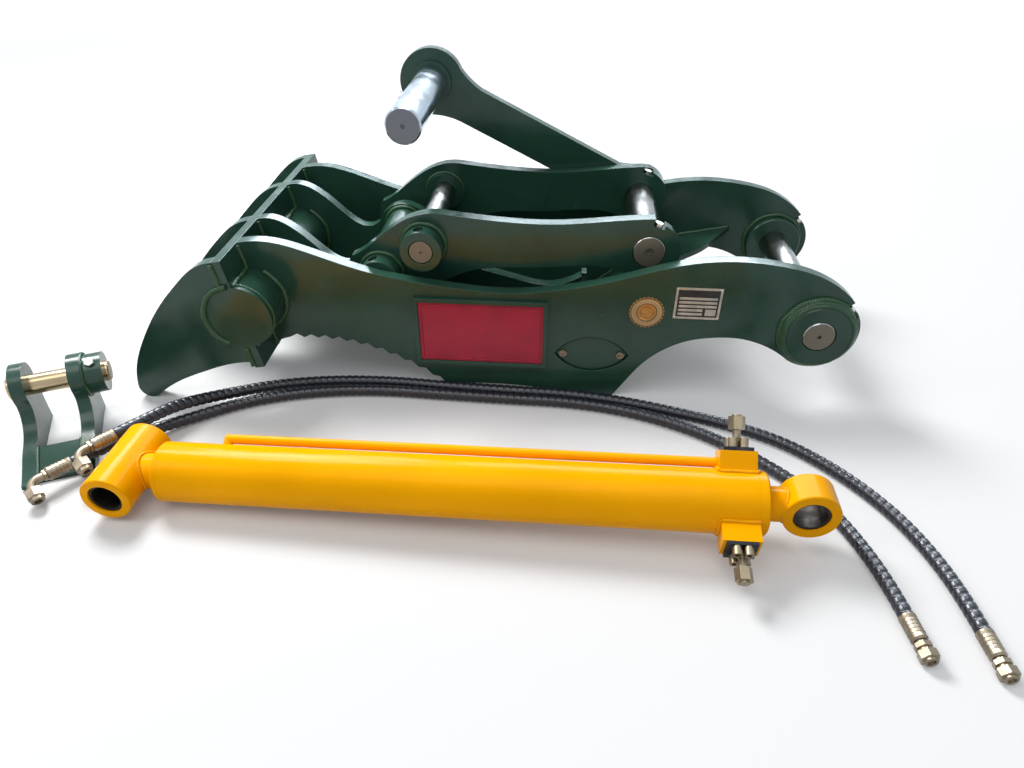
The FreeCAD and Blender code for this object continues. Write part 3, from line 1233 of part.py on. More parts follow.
def kit_point(x, y, z):
    return Vector(size("kit_x") + x, size("kit_y") + y, z)


def hose_shape(name, route):
    """A round hose along straight runs joined by tangent arcs."""
    points = [kit_point(*point) for point in route]
    edges, start, radii = [], points[0], []
    for before, corner, after in zip(points, points[1:], points[2:]):
        inward, outward = corner - before, after - corner
        turn = inward.getAngle(outward)
        trim = 0.45 * min(inward.Length, outward.Length)
        radii.append(trim / math.tan(turn / 2))
        first = corner - inward.normalize() * trim
        last = corner + outward.normalize() * trim
        chord = (first + last) * 0.5
        towards = (chord - corner).normalize()
        hub = corner + towards * (radii[-1] / math.cos(turn / 2))
        middle = hub - towards * radii[-1]
        edges.append(Part.LineSegment(start, first).toShape())
        edges.append(Part.Arc(first, middle, last).toShape())
        start = last
    edges.append(Part.LineSegment(start, points[-1]).toShape())
    path = Part.Wire(edges)
    section = Part.Wire([Part.Circle(points[0], points[1] - points[0], size("hose_dia") / 2).toShape()])
    solid = path.makePipeShell([section], True, False)
    expected = math.pi * (size("hose_dia") / 2) ** 2 * path.Length
    print(name, "length", round(path.Length), "least bend", round(min(radii)),
          "volume ratio", round(solid.Volume / expected, 4))
    return solid


def loose(name, shape):
    """A piece made straight in the kit's frame."""
    feature = doc.addObject("Part::Feature", name)
    feature.Shape = shape
    return node(name, feature, lambda placed: None)


def end_line(route, last):
    """The end point of a route and the direction in which the hose leaves it."""
    points = [kit_point(*point) for point in route]
    tip, inner = (points[-1], points[-2]) if last else (points[0], points[1])
    return tip, (tip - inner).normalize()


def prism(centre, direction, across, length):
    """A hexagonal solid along a direction."""
    corners = [Vector(math.cos(math.radians(60 * k)), math.sin(math.radians(60 * k)), 0) * across / math.sqrt(3)
               for k in range(7)]
    solid = Part.Face(Part.makePolygon(corners)).extrude(Vector(0, 0, length))
    solid.Placement = Placement(centre, Rotation(Vector(0, 0, 1), direction))
    return solid


hose_gap = 0.1
elbows, tails = [], []
for route in (FRONT_HOSE, BACK_HOSE):
    for last, pieces in ((False, elbows), (True, tails)):
        tip, way = end_line(route, last)
        pieces.append(Part.makeCylinder(size("ferrule_dia") / 2, size("ferrule_len"), tip + way * hose_gap, way))
    tip, way = end_line(route, False)
    base = tip + way * (size("ferrule_len") + 2 * hose_gap)
    aside = Vector(-way.y, way.x, 0).normalize() - Vector(0, 0, 0.5)
    side = (aside - way * aside.dot(way)).normalize()
    bend = size("elbow_radius")
    entry = base + way * size("elbow_lead")
    centre = entry + side * bend
    turn = math.radians(85)
    leave = centre + way * bend * math.sin(turn) - side * bend * math.cos(turn)
    middle = centre + way * bend * math.sin(turn / 2) - side * bend * math.cos(turn / 2)
    path = Part.Wire([Part.LineSegment(base, entry).toShape(), Part.Arc(entry, middle, leave).toShape()])
    section = Part.Wire([Part.Circle(base, way, size("elbow_dia") / 2).toShape()])
    elbows.append(path.makePipeShell([section], True, False))
    out = (way * math.cos(turn) + side * math.sin(turn)).normalize()
    elbows.append(prism(leave + out * hose_gap, out, size("nut_across"), size("nut_len")))
    tip, way = end_line(route, True)
    base = tip + way * (size("ferrule_len") + 2 * hose_gap)
    tail = Part.makeCylinder(size("elbow_dia") / 2, 66, base, way)
    for offset, across, length in ((8, 25, 12), (28, 27, 24), (54, 22, 10)):
        tail = tail.fuse(prism(base + way * offset, way, across, length))
    tails.append(tail)

loose("front_hose", hose_shape("front_hose", FRONT_HOSE))
loose("back_hose", hose_shape("back_hose", BACK_HOSE))
loose("hose_elbows", Part.makeCompound(elbows))
loose("hose_end_fittings", Part.makeCompound(tails))

doc.recompute()
for part in doc.Objects:
    if {"Invalid", "Error"} & set(part.State):
        raise RuntimeError(f"{part.Label} failed: {part.State}")
os.makedirs("parts", exist_ok=True)
for part in NODES:
    if part.Shape.isNull() or not part.Shape.isValid():
        raise RuntimeError(f"{part.Label} has no valid shape")
    part.Shape.exportStep(f"parts/{part.Label}.step")
print(len(NODES), "nodes")
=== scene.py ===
"""Looks of an excavator thumb kit: paint, welds, pins, plates, cylinder, bracket and guarded hoses."""

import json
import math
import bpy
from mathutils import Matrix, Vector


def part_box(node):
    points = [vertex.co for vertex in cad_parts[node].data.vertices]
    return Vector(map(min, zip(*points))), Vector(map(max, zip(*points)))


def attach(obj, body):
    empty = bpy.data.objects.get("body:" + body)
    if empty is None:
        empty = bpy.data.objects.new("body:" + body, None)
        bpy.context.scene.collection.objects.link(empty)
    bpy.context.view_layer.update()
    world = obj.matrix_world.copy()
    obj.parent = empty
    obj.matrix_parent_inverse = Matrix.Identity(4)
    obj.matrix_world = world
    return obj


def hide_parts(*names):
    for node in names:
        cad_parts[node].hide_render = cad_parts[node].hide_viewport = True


bl_info = {
    "name": "Excavator Thumb Kit",
    "version": (1, 0, 0),
    "blender": (4, 5, 0),
    "location": "3D View > Sidebar > Thumb Kit",
    "description": "Paints and details an excavator thumb with its cylinder, bracket and hoses",
    "category": "Object",
}

import bmesh
import bpy
from mathutils import Matrix, Quaternion, Vector

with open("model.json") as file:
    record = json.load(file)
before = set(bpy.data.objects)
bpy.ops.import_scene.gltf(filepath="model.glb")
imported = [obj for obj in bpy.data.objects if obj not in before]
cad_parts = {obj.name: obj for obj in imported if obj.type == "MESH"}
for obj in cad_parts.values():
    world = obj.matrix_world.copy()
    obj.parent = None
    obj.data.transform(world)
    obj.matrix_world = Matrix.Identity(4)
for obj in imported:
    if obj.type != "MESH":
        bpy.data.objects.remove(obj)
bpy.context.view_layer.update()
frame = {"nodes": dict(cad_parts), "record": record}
NODES = frame["nodes"]
MM = 0.001


def centre(node):
    """Middle of a frame node's box."""
    low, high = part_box(node)
    return (low + high) / 2


ROOT, LINK, ROD = "thumb_and_kit", "link", "cylinder_rod"
X, Y, Z = Vector((1, 0, 0)), Vector((0, 1, 0)), Vector((0, 0, 1))

PIVOT = centre("main_pin")
BASE_EYE = centre("base_eye")
RAM_SLOPE = math.radians(-1.7)
RAM_TURN = Quaternion(Z, RAM_SLOPE) @ Quaternion(Y, RAM_SLOPE)
BRACKET = PIVOT + Vector((-1545, -437, -178)) * MM
BRACKET_TURN = Quaternion(Z, math.radians(25 - 90))

# Places on the thumb, in millimetres from the main pin's axis and the thumb's mid-plane.
TORQUE_TUBE = (-1142.0, 28.0)
LINK_PIVOT = (-884, 63)
CYLINDER_PIN = (-792, 129)
SIDE_PLATE = (203, 228)
OUTER_TINE = (285, 310)
INNER_RIBS = (-111.7, -86.7, 86.7, 111.7)
CROSS_PLATE_LEAN = 9.8

# Hose routes: millimetres from the main pin's axis, heights above the floor.
FRONT_ROUTE = [(-1400, -564, 34), (-1361, -511, 32), (-1316, -450, 21), (-1248, -388, 12.2),
               (-1160, -326, 12.2), (-1040, -283, 12.2), (-895, -264, 12.2), (-750, -270, 12.2),
               (-610, -275, 12.2), (-480, -277, 12.2), (-362, -298, 12.2), (-262, -336, 12.2),
               (-184, -382, 12.2), (-118, -438, 12.2), (-60, -498, 12.2), (-16, -568, 12.2),
               (10, -648, 13.5), (24, -724, 16.5), (30, -780, 16.5)]
BACK_ROUTE = [(-1336, -512, 62), (-1302, -456, 58), (-1268, -392, 48), (-1210, -322, 24),
              (-1120, -264, 12.2), (-1000, -238, 12.2), (-870, -231, 12.2), (-740, -241, 12.2),
              (-610, -247, 12.2), (-490, -249, 12.2), (-372, -266, 12.2), (-262, -296, 12.2),
              (-160, -328, 12.2), (-76, -368, 12.2), (-12, -420, 12.2), (44, -486, 12.2),
              (88, -560, 12.2), (116, -642, 13.5), (130, -730, 16.5), (134, -800, 16.5)]


def at(x, y, z):
    """A point in millimetres from the main pin axis on the thumb's mid-plane."""
    return PIVOT + Vector((x, y, z)) * MM


def on_ram(x, y, z):
    """A point in the cylinder's own frame, millimetres from its base eye."""
    return BASE_EYE + RAM_TURN @ (Vector((x, y, z)) * MM)


def on_bracket(x, y, z):
    """A point in the bracket's own frame: along its feet, along its pin, up."""
    return BRACKET + BRACKET_TURN @ (Vector((x, y, z)) * MM)


class Finishes(bpy.types.PropertyGroup):
    green: bpy.props.FloatVectorProperty(
        name="Green paint", description="Gloss paint of the thumb, link, arm and bracket",
        subtype="COLOR", size=3, min=0, max=1, default=(0.018, 0.058, 0.038))
    # Lighter than the green paint: a painted highlight on the weld beads, not a different paint.
    weld_highlight_green: bpy.props.FloatVectorProperty(
        name="Green on welds", description="Thicker, brighter paint on the weld beads",
        subtype="COLOR", size=3, min=0, max=1, default=(0.023, 0.076, 0.028))
    yellow: bpy.props.FloatVectorProperty(
        name="Yellow paint", description="Gloss paint of the cylinder",
        subtype="COLOR", size=3, min=0, max=1, default=(0.88, 0.37, 0.0))
    red: bpy.props.FloatVectorProperty(
        name="Red panel", description="Bare name panel on the near side plate",
        subtype="COLOR", size=3, min=0, max=1, default=(0.37, 0.008, 0.036))
    gold: bpy.props.FloatVectorProperty(
        name="Gold seal", description="Scalloped sticker on the near side plate",
        subtype="COLOR", size=3, min=0, max=1, default=(0.52, 0.27, 0.08))
    steel: bpy.props.FloatVectorProperty(
        name="Pin steel", description="Ground steel of the pins",
        subtype="COLOR", size=3, min=0, max=1, default=(0.31, 0.30, 0.28))
    brass: bpy.props.FloatVectorProperty(
        name="Preservative film", description="Yellowish oil film on pin ends and fittings",
        subtype="COLOR", size=3, min=0, max=1, default=(0.31, 0.25, 0.18))
    guard: bpy.props.FloatVectorProperty(
        name="Hose guard", description="Black spiral guard of the hoses",
        subtype="COLOR", size=3, min=0, max=1, default=(0.012, 0.012, 0.018))


class Sizes(bpy.types.PropertyGroup):
    """Sizes of the details."""

    weld_leg: bpy.props.FloatProperty(
        name="Weld leg", description="Leg of the main fillet welds", subtype="DISTANCE",
        default=0.011, min=0.004, max=0.02)
    weld_step: bpy.props.FloatProperty(
        name="Weld ripple", description="Distance between the ripples of a bead", subtype="DISTANCE",
        default=0.005, min=0.002, max=0.02)
    hose_width: bpy.props.FloatProperty(
        name="Hose width", description="Hose with its spiral guard", subtype="DISTANCE",
        default=0.024, min=0.012, max=0.04)
    guard_pitch: bpy.props.FloatProperty(
        name="Guard pitch", description="Distance between the turns of the spiral guard",
        subtype="DISTANCE", default=0.0145, min=0.006, max=0.04)
    guard_groove: bpy.props.FloatProperty(
        name="Guard groove", description="Depth of the groove between two turns of the guard",
        subtype="DISTANCE", default=0.0019, min=0.0005, max=0.004)
    seal_width: bpy.props.FloatProperty(
        name="Seal width", description="Width of the gold sticker", subtype="DISTANCE",
        default=0.070, min=0.03, max=0.12)
    edge_round: bpy.props.FloatProperty(
        name="Edge round", description="Radius that light sees on the edges of thick plates",
        subtype="DISTANCE", default=0.0016, min=0.0, max=0.005)


def finishes():
    return bpy.context.scene.thumb_finishes


def sizes():
    return bpy.context.scene.thumb_sizes


# Materials


class Recipe:
    """A procedural material under construction."""

    def __init__(self, name):
        self.material = bpy.data.materials.new(name)
        self.material.use_nodes = True
        self.nodes = self.material.node_tree.nodes
        self.links = self.material.node_tree.links
        self.shader = self.nodes["Principled BSDF"]
        self.place = self.nodes.new("ShaderNodeTexCoord").outputs["Object"]
        self.normal = None

    def node(self, kind, inputs=None, **settings):
        made = self.nodes.new(kind)
        for key, value in settings.items():
            setattr(made, key, value)
        for key, value in (inputs or {}).items():
            if isinstance(value, bpy.types.NodeSocket):
                self.links.new(value, made.inputs[key])
            else:
                made.inputs[key].default_value = value
        return made

    def noise(self, scale, detail=3.0, roughness=0.5, place=None):
        inputs = {"Vector": place or self.place, "Scale": scale,
                  "Detail": detail, "Roughness": roughness}
        return self.node("ShaderNodeTexNoise", inputs).outputs["Fac"]

    def ramp(self, value, low, high, start=0.0, end=1.0):
        inputs = {"Value": value, "From Min": low, "From Max": high, "To Min": start, "To Max": end}
        return self.node("ShaderNodeMapRange", inputs).outputs["Result"]

    def math(self, operation, first, second=0.0):
        return self.node("ShaderNodeMath", {0: first, 1: second}, operation=operation).outputs[0]

    def mix(self, share, first, second):
        made = self.node("ShaderNodeMix", data_type="RGBA")
        for socket, value in ((0, share), (6, first), (7, second)):
            if isinstance(value, bpy.types.NodeSocket):
                self.links.new(value, made.inputs[socket])
            elif socket == 0:
                made.inputs[0].default_value = value
            else:
                made.inputs[socket].default_value = (*value[:3], 1)
        return made.outputs[2]

    def stretch(self, x, y, z):
        inputs = {"Vector": self.place, "Scale": (x, y, z)}
        return self.node("ShaderNodeMapping", inputs).outputs["Vector"]

    def facing(self, axis):
        """How squarely the surface faces along an axis, either way."""
        surface = self.node("ShaderNodeNewGeometry").outputs["True Normal"]
        dot = self.node("ShaderNodeVectorMath", {0: surface, 1: axis}, operation="DOT_PRODUCT")
        return self.math("ABSOLUTE", dot.outputs["Value"])

    def soften(self, radius):
        """Let the light see rounded edges."""
        self.normal = self.node("ShaderNodeBevel", {"Radius": radius}, samples=4).outputs["Normal"]

    def bump(self, height, strength, distance):
        inputs = {"Height": height, "Strength": strength, "Distance": distance}
        if self.normal is not None:
            inputs["Normal"] = self.normal
        self.normal = self.node("ShaderNodeBump", inputs).outputs["Normal"]

    def done(self, colour, roughness, **fixed):
        """Set the shader's colour, roughness and other sockets, and hand the material over."""
        for key, value in (("Base Color", colour), ("Roughness", roughness)):
            if isinstance(value, bpy.types.NodeSocket):
                self.links.new(value, self.shader.inputs[key])
            elif key == "Base Color":
                self.shader.inputs[key].default_value = (*value[:3], 1)
            else:
                self.shader.inputs[key].default_value = value
        for key, value in fixed.items():
            socket = self.shader.inputs[key.replace("_", " ").title().replace("Ior", "IOR")]
            if isinstance(value, bpy.types.NodeSocket):
                self.links.new(value, socket)
            else:
                socket.default_value = value
        if self.normal is not None:
            self.links.new(self.normal, self.shader.inputs["Normal"])
        return self.material


def sees_backdrop(nodes, links):
    """1 for camera, glossy and transmission rays, which see the white backdrop, else 0."""
    path = nodes.new("ShaderNodeLightPath")
    share = path.outputs["Is Camera Ray"]
    for ray in ("Is Glossy Ray", "Is Transmission Ray"):
        either = nodes.new("ShaderNodeMath")
        either.operation = "MAXIMUM"
        links.new(share, either.inputs[0])
        links.new(path.outputs[ray], either.inputs[1])
        share = either.outputs[0]
    return share


def white_to_camera(nodes, links, otherwise):
    path = nodes.new("ShaderNodeLightPath")
    hue = nodes.new("ShaderNodeMix")
    hue.data_type = "RGBA"
    links.new(path.outputs["Is Camera Ray"], hue.inputs[0])
    hue.inputs[6].default_value = (*otherwise, 1)
    hue.inputs[7].default_value = (1, 1, 1, 1)
    return hue.outputs[2]


def remapped(nodes, links, value, low, high, start, end):
    """A value moved from one range to another."""
    made = nodes.new("ShaderNodeMapRange")
    links.new(value, made.inputs["Value"])
    for key, limit in (("From Min", low), ("From Max", high), ("To Min", start), ("To Max", end)):
        made.inputs[key].default_value = limit
    return made.outputs["Result"]


def shade(colour, share):
    """A colour made darker or lighter."""
    return tuple(min(1.0, part * share) for part in colour)


def gloss_paint(name, colour, rough=0.16, peel=0.10, edge=None, mottle=0.2, shine=0.36):
    """Sprayed gloss enamel: cloudy film, orange peel, dust specks and dulled patches."""
    recipe = Recipe(name)
    recipe.soften(sizes().edge_round if edge is None else edge)
    cloud = recipe.ramp(recipe.noise(7, 4), 0.3, 0.7)
    body = recipe.mix(cloud, shade(colour, 1 - mottle), shade(colour, 1 + mottle))
    dust = recipe.ramp(recipe.noise(420, 2, 0.7), 0.70, 0.78, 0.0, 0.35)
    body = recipe.mix(dust, body, shade(colour, 1.9))
    recipe.bump(recipe.noise(260, 2), peel, 0.0006)
    recipe.bump(recipe.noise(26, 3), 0.10, 0.0025)
    dull = recipe.ramp(recipe.noise(18, 5, 0.65), 0.35, 0.75, rough * 0.7, rough * 1.9)
    return recipe.done(body, dull, specular_ior_level=shine, coat_weight=0.12 * shine,
                       coat_roughness=0.06)


def pin_steel(name, axis, shaft=None, tint=(0.15, 0.125, 0.085), film=0.9):
    """Ground steel with turning marks; a dull brown film on the end faces and in faint patches."""
    recipe = Recipe(name)
    end = recipe.ramp(recipe.facing(axis), 0.80, 0.95)
    cloud = recipe.ramp(recipe.noise(9, 3), 0.50, 0.74, 0.0, 0.28)
    share = recipe.math("MAXIMUM", recipe.math("MULTIPLY", end, film), cloud)
    colour = recipe.mix(share, shaft or finishes().steel, tint)
    bare = recipe.ramp(share, 0.3, film, 1.0, 0.35)
    rings = recipe.noise(1.0, 2, place=recipe.stretch(*[900 * abs(part) + 14 for part in axis]))
    recipe.bump(rings, 0.09, 0.0003)
    rough = recipe.math("ADD", recipe.ramp(recipe.noise(40, 3), 0.3, 0.7, 0.14, 0.24),
                        recipe.math("MULTIPLY", end, 0.16))
    return recipe.done(colour, rough, metallic=bare)


def plated_metal(name, colour, rough=0.28, scale=55, metallic=1.0, stained=0.28):
    """Plated or machined metal with faint stains and handling scratches."""
    recipe = Recipe(name)
    recipe.soften(0.0007)
    stain = recipe.ramp(recipe.noise(scale, 5), 0.35, 0.7)
    body = recipe.mix(stain, shade(colour, 1 - stained), shade(colour, 1 + 0.4 * stained))
    scratch = recipe.noise(3, 2, place=recipe.stretch(60, 900, 300))
    recipe.bump(scratch, 0.08, 0.0003)
    return recipe.done(body, recipe.ramp(stain, 0, 1, rough * 1.5, rough * 0.8), metallic=metallic)


def rubber(name, colour, rough=0.5, coat=0.0):
    """Rubber, plastic or dull print: cloudy, with a fine grain."""
    recipe = Recipe(name)
    cloud = recipe.ramp(recipe.noise(60, 4), 0.35, 0.7)
    body = recipe.mix(cloud, shade(colour, 0.7), shade(colour, 1.5))
    recipe.bump(recipe.noise(700, 2), 0.15, 0.0003)
    dull = recipe.ramp(recipe.noise(35, 3), 0.3, 0.7, rough * 0.8, rough * 1.3)
    return recipe.done(body, dull, coat_weight=coat)


def enamel_panel(name, colour):
    """Cast panel with a fine pebbled ground under gloss enamel."""
    recipe = Recipe(name)
    cloud = recipe.ramp(recipe.noise(16, 3), 0.3, 0.7)
    body = recipe.mix(cloud, shade(colour, 0.85), shade(colour, 1.12))
    pebble = recipe.node("ShaderNodeTexVoronoi", {"Vector": recipe.place, "Scale": 520.0})
    recipe.bump(pebble.outputs["Distance"], 0.22, 0.0006)
    return recipe.done(body, 0.26, specular_ior_level=0.3, coat_weight=0.1, coat_roughness=0.1)


MATERIALS = {}


def mix_materials():
    paint = finishes()
    MATERIALS["green"] = gloss_paint("green_enamel", paint.green)
    # The weld beads' lighter green is a painted highlight.
    MATERIALS["weld"] = gloss_paint("green_enamel_weld_highlight", paint.weld_highlight_green, 0.14, 0.25, 0.0005)
    MATERIALS["yellow"] = gloss_paint("yellow_enamel", paint.yellow, 0.15, 0.08, 0.0010, 0.05, 0.04)
    MATERIALS["yellow_weld"] = gloss_paint("yellow_enamel_on_weld", shade(paint.yellow, 0.92),
                                           0.16, 0.2, 0.0005, 0.08, 0.1)
    MATERIALS["red"] = enamel_panel("red_enamel", paint.red)
    MATERIALS["pin"] = pin_steel("ground_pin_steel", (0, 1, 0))
    MATERIALS["bracket_pin"] = pin_steel("bracket_pin_steel", (0.906, 0.423, 0.0),
                                         (0.46, 0.35, 0.21), (0.26, 0.20, 0.12))
    # The shaft steel is tinted blue-grey: a painted reflection of the sky.
    MATERIALS["dark_pin"] = pin_steel("dark_ended_pin_steel", (0, 1, 0), (0.50, 0.55, 0.60),
                                      (0.11, 0.115, 0.13))
    MATERIALS["plated"] = plated_metal("yellow_zinc", paint.brass, 0.32)
    MATERIALS["zinc"] = plated_metal("bright_zinc", (0.60, 0.58, 0.55), 0.22)
    MATERIALS["dark_steel"] = plated_metal("black_oxide", (0.035, 0.035, 0.04), 0.34)
    MATERIALS["machined"] = plated_metal("machined_steel", (0.46, 0.46, 0.48), 0.3)
    MATERIALS["chrome"] = plated_metal("hard_chrome", (0.70, 0.71, 0.74), 0.10, 30, stained=0.03)
    MATERIALS["brass"] = plated_metal("port_brass", (0.34, 0.27, 0.18), 0.32)
    # Nearly black for the bushes: painted shade inside the bores, not the bronze's own colour.
    MATERIALS["bronze"] = plated_metal("bush_bronze", (0.05, 0.042, 0.036), 0.45)
    MATERIALS["plate"] = plated_metal("plate_alloy", (0.55, 0.52, 0.45), 0.3)
    MATERIALS["plate_ink"] = rubber("plate_black", (0.012, 0.012, 0.014), 0.35)
    MATERIALS["gold"] = plated_metal("gold_foil", paint.gold, 0.30, 90, 0.85)
    MATERIALS["cream"] = gloss_paint("pale_foil", (0.62, 0.42, 0.20), 0.3, 0.05, 0.0)
    MATERIALS["brown"] = rubber("brown_print", (0.050, 0.024, 0.010), 0.4)
    MATERIALS["guard"] = rubber("spiral_guard", paint.guard, 0.34, 0.14)
    MATERIALS["seal_ring"] = rubber("seal_rubber", (0.02, 0.02, 0.022), 0.5)


SLOT_FINISH = {
    "green_paint": "green", "yellow_paint": "yellow", "pin_steel": "pin", "plated_steel": "plated",
    "black_steel": "dark_steel", "red_panel": "red", "plate_alloy": "plate", "bush_bronze": "bronze",
    "hard_chrome": "chrome", "machined_steel": "machined", "seal_rubber": "seal_ring",
    "hose_guard": "guard",
}


# Shapes


class Shape:
    """Surfaces gathered into one piece."""

    def __init__(self):
        self.points = []
        self.faces = []

    def rings(self, loops, closed=False):
        """Join loops of equal length into a skin, capped at its ends unless it closes on itself."""
        first = len(self.points)
        count = len(loops[0])
        for loop in loops:
            self.points.extend(loop)
        last = len(loops) if closed else len(loops) - 1
        for ring in range(last):
            near = first + ring * count
            far = first + (ring + 1) % len(loops) * count
            for side in range(count):
                after = (side + 1) % count
                self.faces.append((near + side, near + after, far + after, far + side))
        if not closed:
            self.faces.append(tuple(first + side for side in reversed(range(count))))
            self.faces.append(tuple(first + (len(loops) - 1) * count + side for side in range(count)))
        return self

    def lathe(self, start, axis, profile, sides=40, closed=False):
        """Turn (along, radius) pairs, in metres, about an axis."""
        axis = axis.normalized()
        across = axis.orthogonal().normalized()
        upright = axis.cross(across)
        loops = []
        for along, radius in profile:
            loop = []
            for side in range(sides):
                turn = math.tau * side / sides
                spoke = across * radius * math.cos(turn) + upright * radius * math.sin(turn)
                loop.append(start + axis * along + spoke)
            loops.append(loop)
        return self.rings(loops, closed)

    def hexagon(self, start, axis, flats, length, chamfer=0.0012):
        """A chamfered hexagon: its corners are cut by a cone, as on a real nut."""
        corner = flats / math.sqrt(3)
        slope = chamfer * 0.6
        small = corner - chamfer
        profile = [(0, small), (slope, corner), (length - slope, corner), (length, small)]
        return self.lathe(start, axis, profile, 6)

    def sweep(self, path, radius, sides=10, closed=False):
        """A tube along a path; radius is a number or a function of distance and angle."""
        loops = []
        normal = None
        distance = 0.0
        count = len(path)
        for number, point in enumerate(path):
            if closed:
                way = (path[(number + 1) % count] - path[number - 1]).normalized()
            else:
                way = (path[min(number + 1, count - 1)] - path[max(number - 1, 0)]).normalized()
            if normal is None:
                normal = way.orthogonal().normalized()
            normal = (normal - way * normal.dot(way)).normalized()
            upright = way.cross(normal)
            if number:
                distance += (point - path[number - 1]).length
            loop = []
            for side in range(sides):
                angle = math.tau * side / sides
                reach = radius(distance, angle) if callable(radius) else radius
                loop.append(point + (normal * math.cos(angle) + upright * math.sin(angle)) * reach)
            loops.append(loop)
        return self.rings(loops, closed)

    def piece(self, name, finish, body, slot, smooth_angle=35):
        """Make the surfaces an object that rides on a body."""
        mesh = bpy.data.meshes.new(name)
        mesh.from_pydata([tuple(point) for point in self.points], [], self.faces)
        mesh.validate()
        shape = bmesh.new()
        shape.from_mesh(mesh)
        bmesh.ops.recalc_face_normals(shape, faces=shape.faces)
        shape.to_mesh(mesh)
        shape.free()
        mesh.shade_smooth()
        mesh.set_sharp_from_angle(angle=math.radians(smooth_angle))
        mesh.materials.append(MATERIALS[finish])
        made = bpy.data.objects.new(name, mesh)
        bpy.context.scene.collection.objects.link(made)
        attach(made, body)
        return made


def even(path, step, closed=False):
    """The same path with evenly spaced points."""
    run = list(path) + ([path[0]] if closed else [])
    lengths = [0.0]
    for before, after in zip(run, run[1:]):
        lengths.append(lengths[-1] + (after - before).length)
    count = max(2, round(lengths[-1] / step))
    points = []
    leg = 0
    for number in range(count if closed else count + 1):
        target = lengths[-1] * number / count
        while leg < len(run) - 2 and lengths[leg + 1] < target:
            leg += 1
        span = lengths[leg + 1] - lengths[leg]
        share = (target - lengths[leg]) / span if span else 0
        points.append(run[leg].lerp(run[leg + 1], share))
    return points


def bead_into(shape, path, width, closed=False):
    """One weld bead: a round run with the ripples that the arc leaves."""
    step = sizes().weld_step
    points = even(path, step / 3, closed)
    wobble = width * 0.07

    def reach(distance, angle):
        ripple = math.cos(math.tau * distance / step) * wobble
        drift = math.sin(distance * 130 + angle) * wobble * 0.6
        return width / 2 + ripple + drift

    return shape.sweep(points, reach, 8, closed)


def ring_path(middle, axis, radius, start=0.0, end=360.0, across=None):
    """Points on a circle or an arc about an axis."""
    axis = axis.normalized()
    across = (across or axis.orthogonal()).normalized()
    upright = axis.cross(across)
    span = end - start
    count = max(6, int(abs(span) / 5))
    full = abs(span) >= 360
    path = []
    for number in range(count if full else count + 1):
        turn = math.radians(start + span * number / count)
        path.append(middle + (across * math.cos(turn) + upright * math.sin(turn)) * radius)
    return path


def bead_round(shape, x, y, z, radius, width):
    """A closed weld bead about a cross axis of the thumb, its place in millimetres."""
    return bead_into(shape, ring_path(at(x, y, z), Y, radius), width, True)


# Operators


class Maker(bpy.types.Operator):
    bl_options = {"REGISTER", "UNDO"}


class THUMB_OT_camera(Maker):
    bl_idname = "thumb.camera"
    bl_label = "Camera"

    def execute(self, context):
        view = bpy.data.cameras.new("kit_camera")
        view.sensor_width = 36.0
        view.lens = 25.85
        view.shift_x = 0.003
        view.clip_start = 0.05
        view.clip_end = 60
        camera = bpy.data.objects.new("kit_camera", view)
        forward = Vector((-0.06306, 0.80950, -0.58373)).normalized()
        right = forward.cross(Z).normalized()
        up = right.cross(forward)
        turn = Matrix((right, up, -forward)).transposed().to_4x4()
        camera.matrix_world = Matrix.Translation(at(-512.87, -1518.668, 769.23)) @ turn
        context.scene.collection.objects.link(camera)
        context.scene.camera = camera
        context.scene.view_settings.view_transform = "Standard"
        return {"FINISHED"}


def route_points(route):
    return [Vector((PIVOT.x + x * MM, PIVOT.y + y * MM, z * MM)) for x, y, z in route]


def hose_line(name, route):
    """The hose's own smooth line, as closely spaced points."""
    curve = bpy.data.curves.new(name + "_line", "CURVE")
    curve.dimensions = "3D"
    curve.resolution_u = 32
    spline = curve.splines.new("NURBS")
    points = route_points(route)
    spline.points.add(len(points) - 1)
    for slot, point in zip(spline.points, points):
        slot.co = (*point, 1)
    spline.order_u = 3
    spline.use_endpoint_u = True
    holder = bpy.data.objects.new(name + "_line", curve)
    mesh = bpy.data.meshes.new_from_object(holder)
    line = [vertex.co.copy() for vertex in mesh.vertices]
    bpy.data.objects.remove(holder)
    bpy.data.curves.remove(curve)
    bpy.data.meshes.remove(mesh)
    return line


def crimped_ferrule(shape, start, way):
    """A pressed hose ferrule with its four crimp lands."""
    profile = [(0.1, 12.2), (1.2, 13.2), (6, 13.2), (7.5, 12.3)]
    for land in range(4):
        base = 9 + land * 6.4
        profile += [(base, 12.3), (base + 0.7, 13.0), (base + 4.6, 13.0), (base + 5.3, 12.3)]
    profile += [(36, 12.3), (38, 12.9), (41, 12.9), (44, 10.5)]
    return shape.lathe(start, way, [(along * MM, radius * MM) for along, radius in profile], 40)


FERRULE_LENGTH = 0.0442


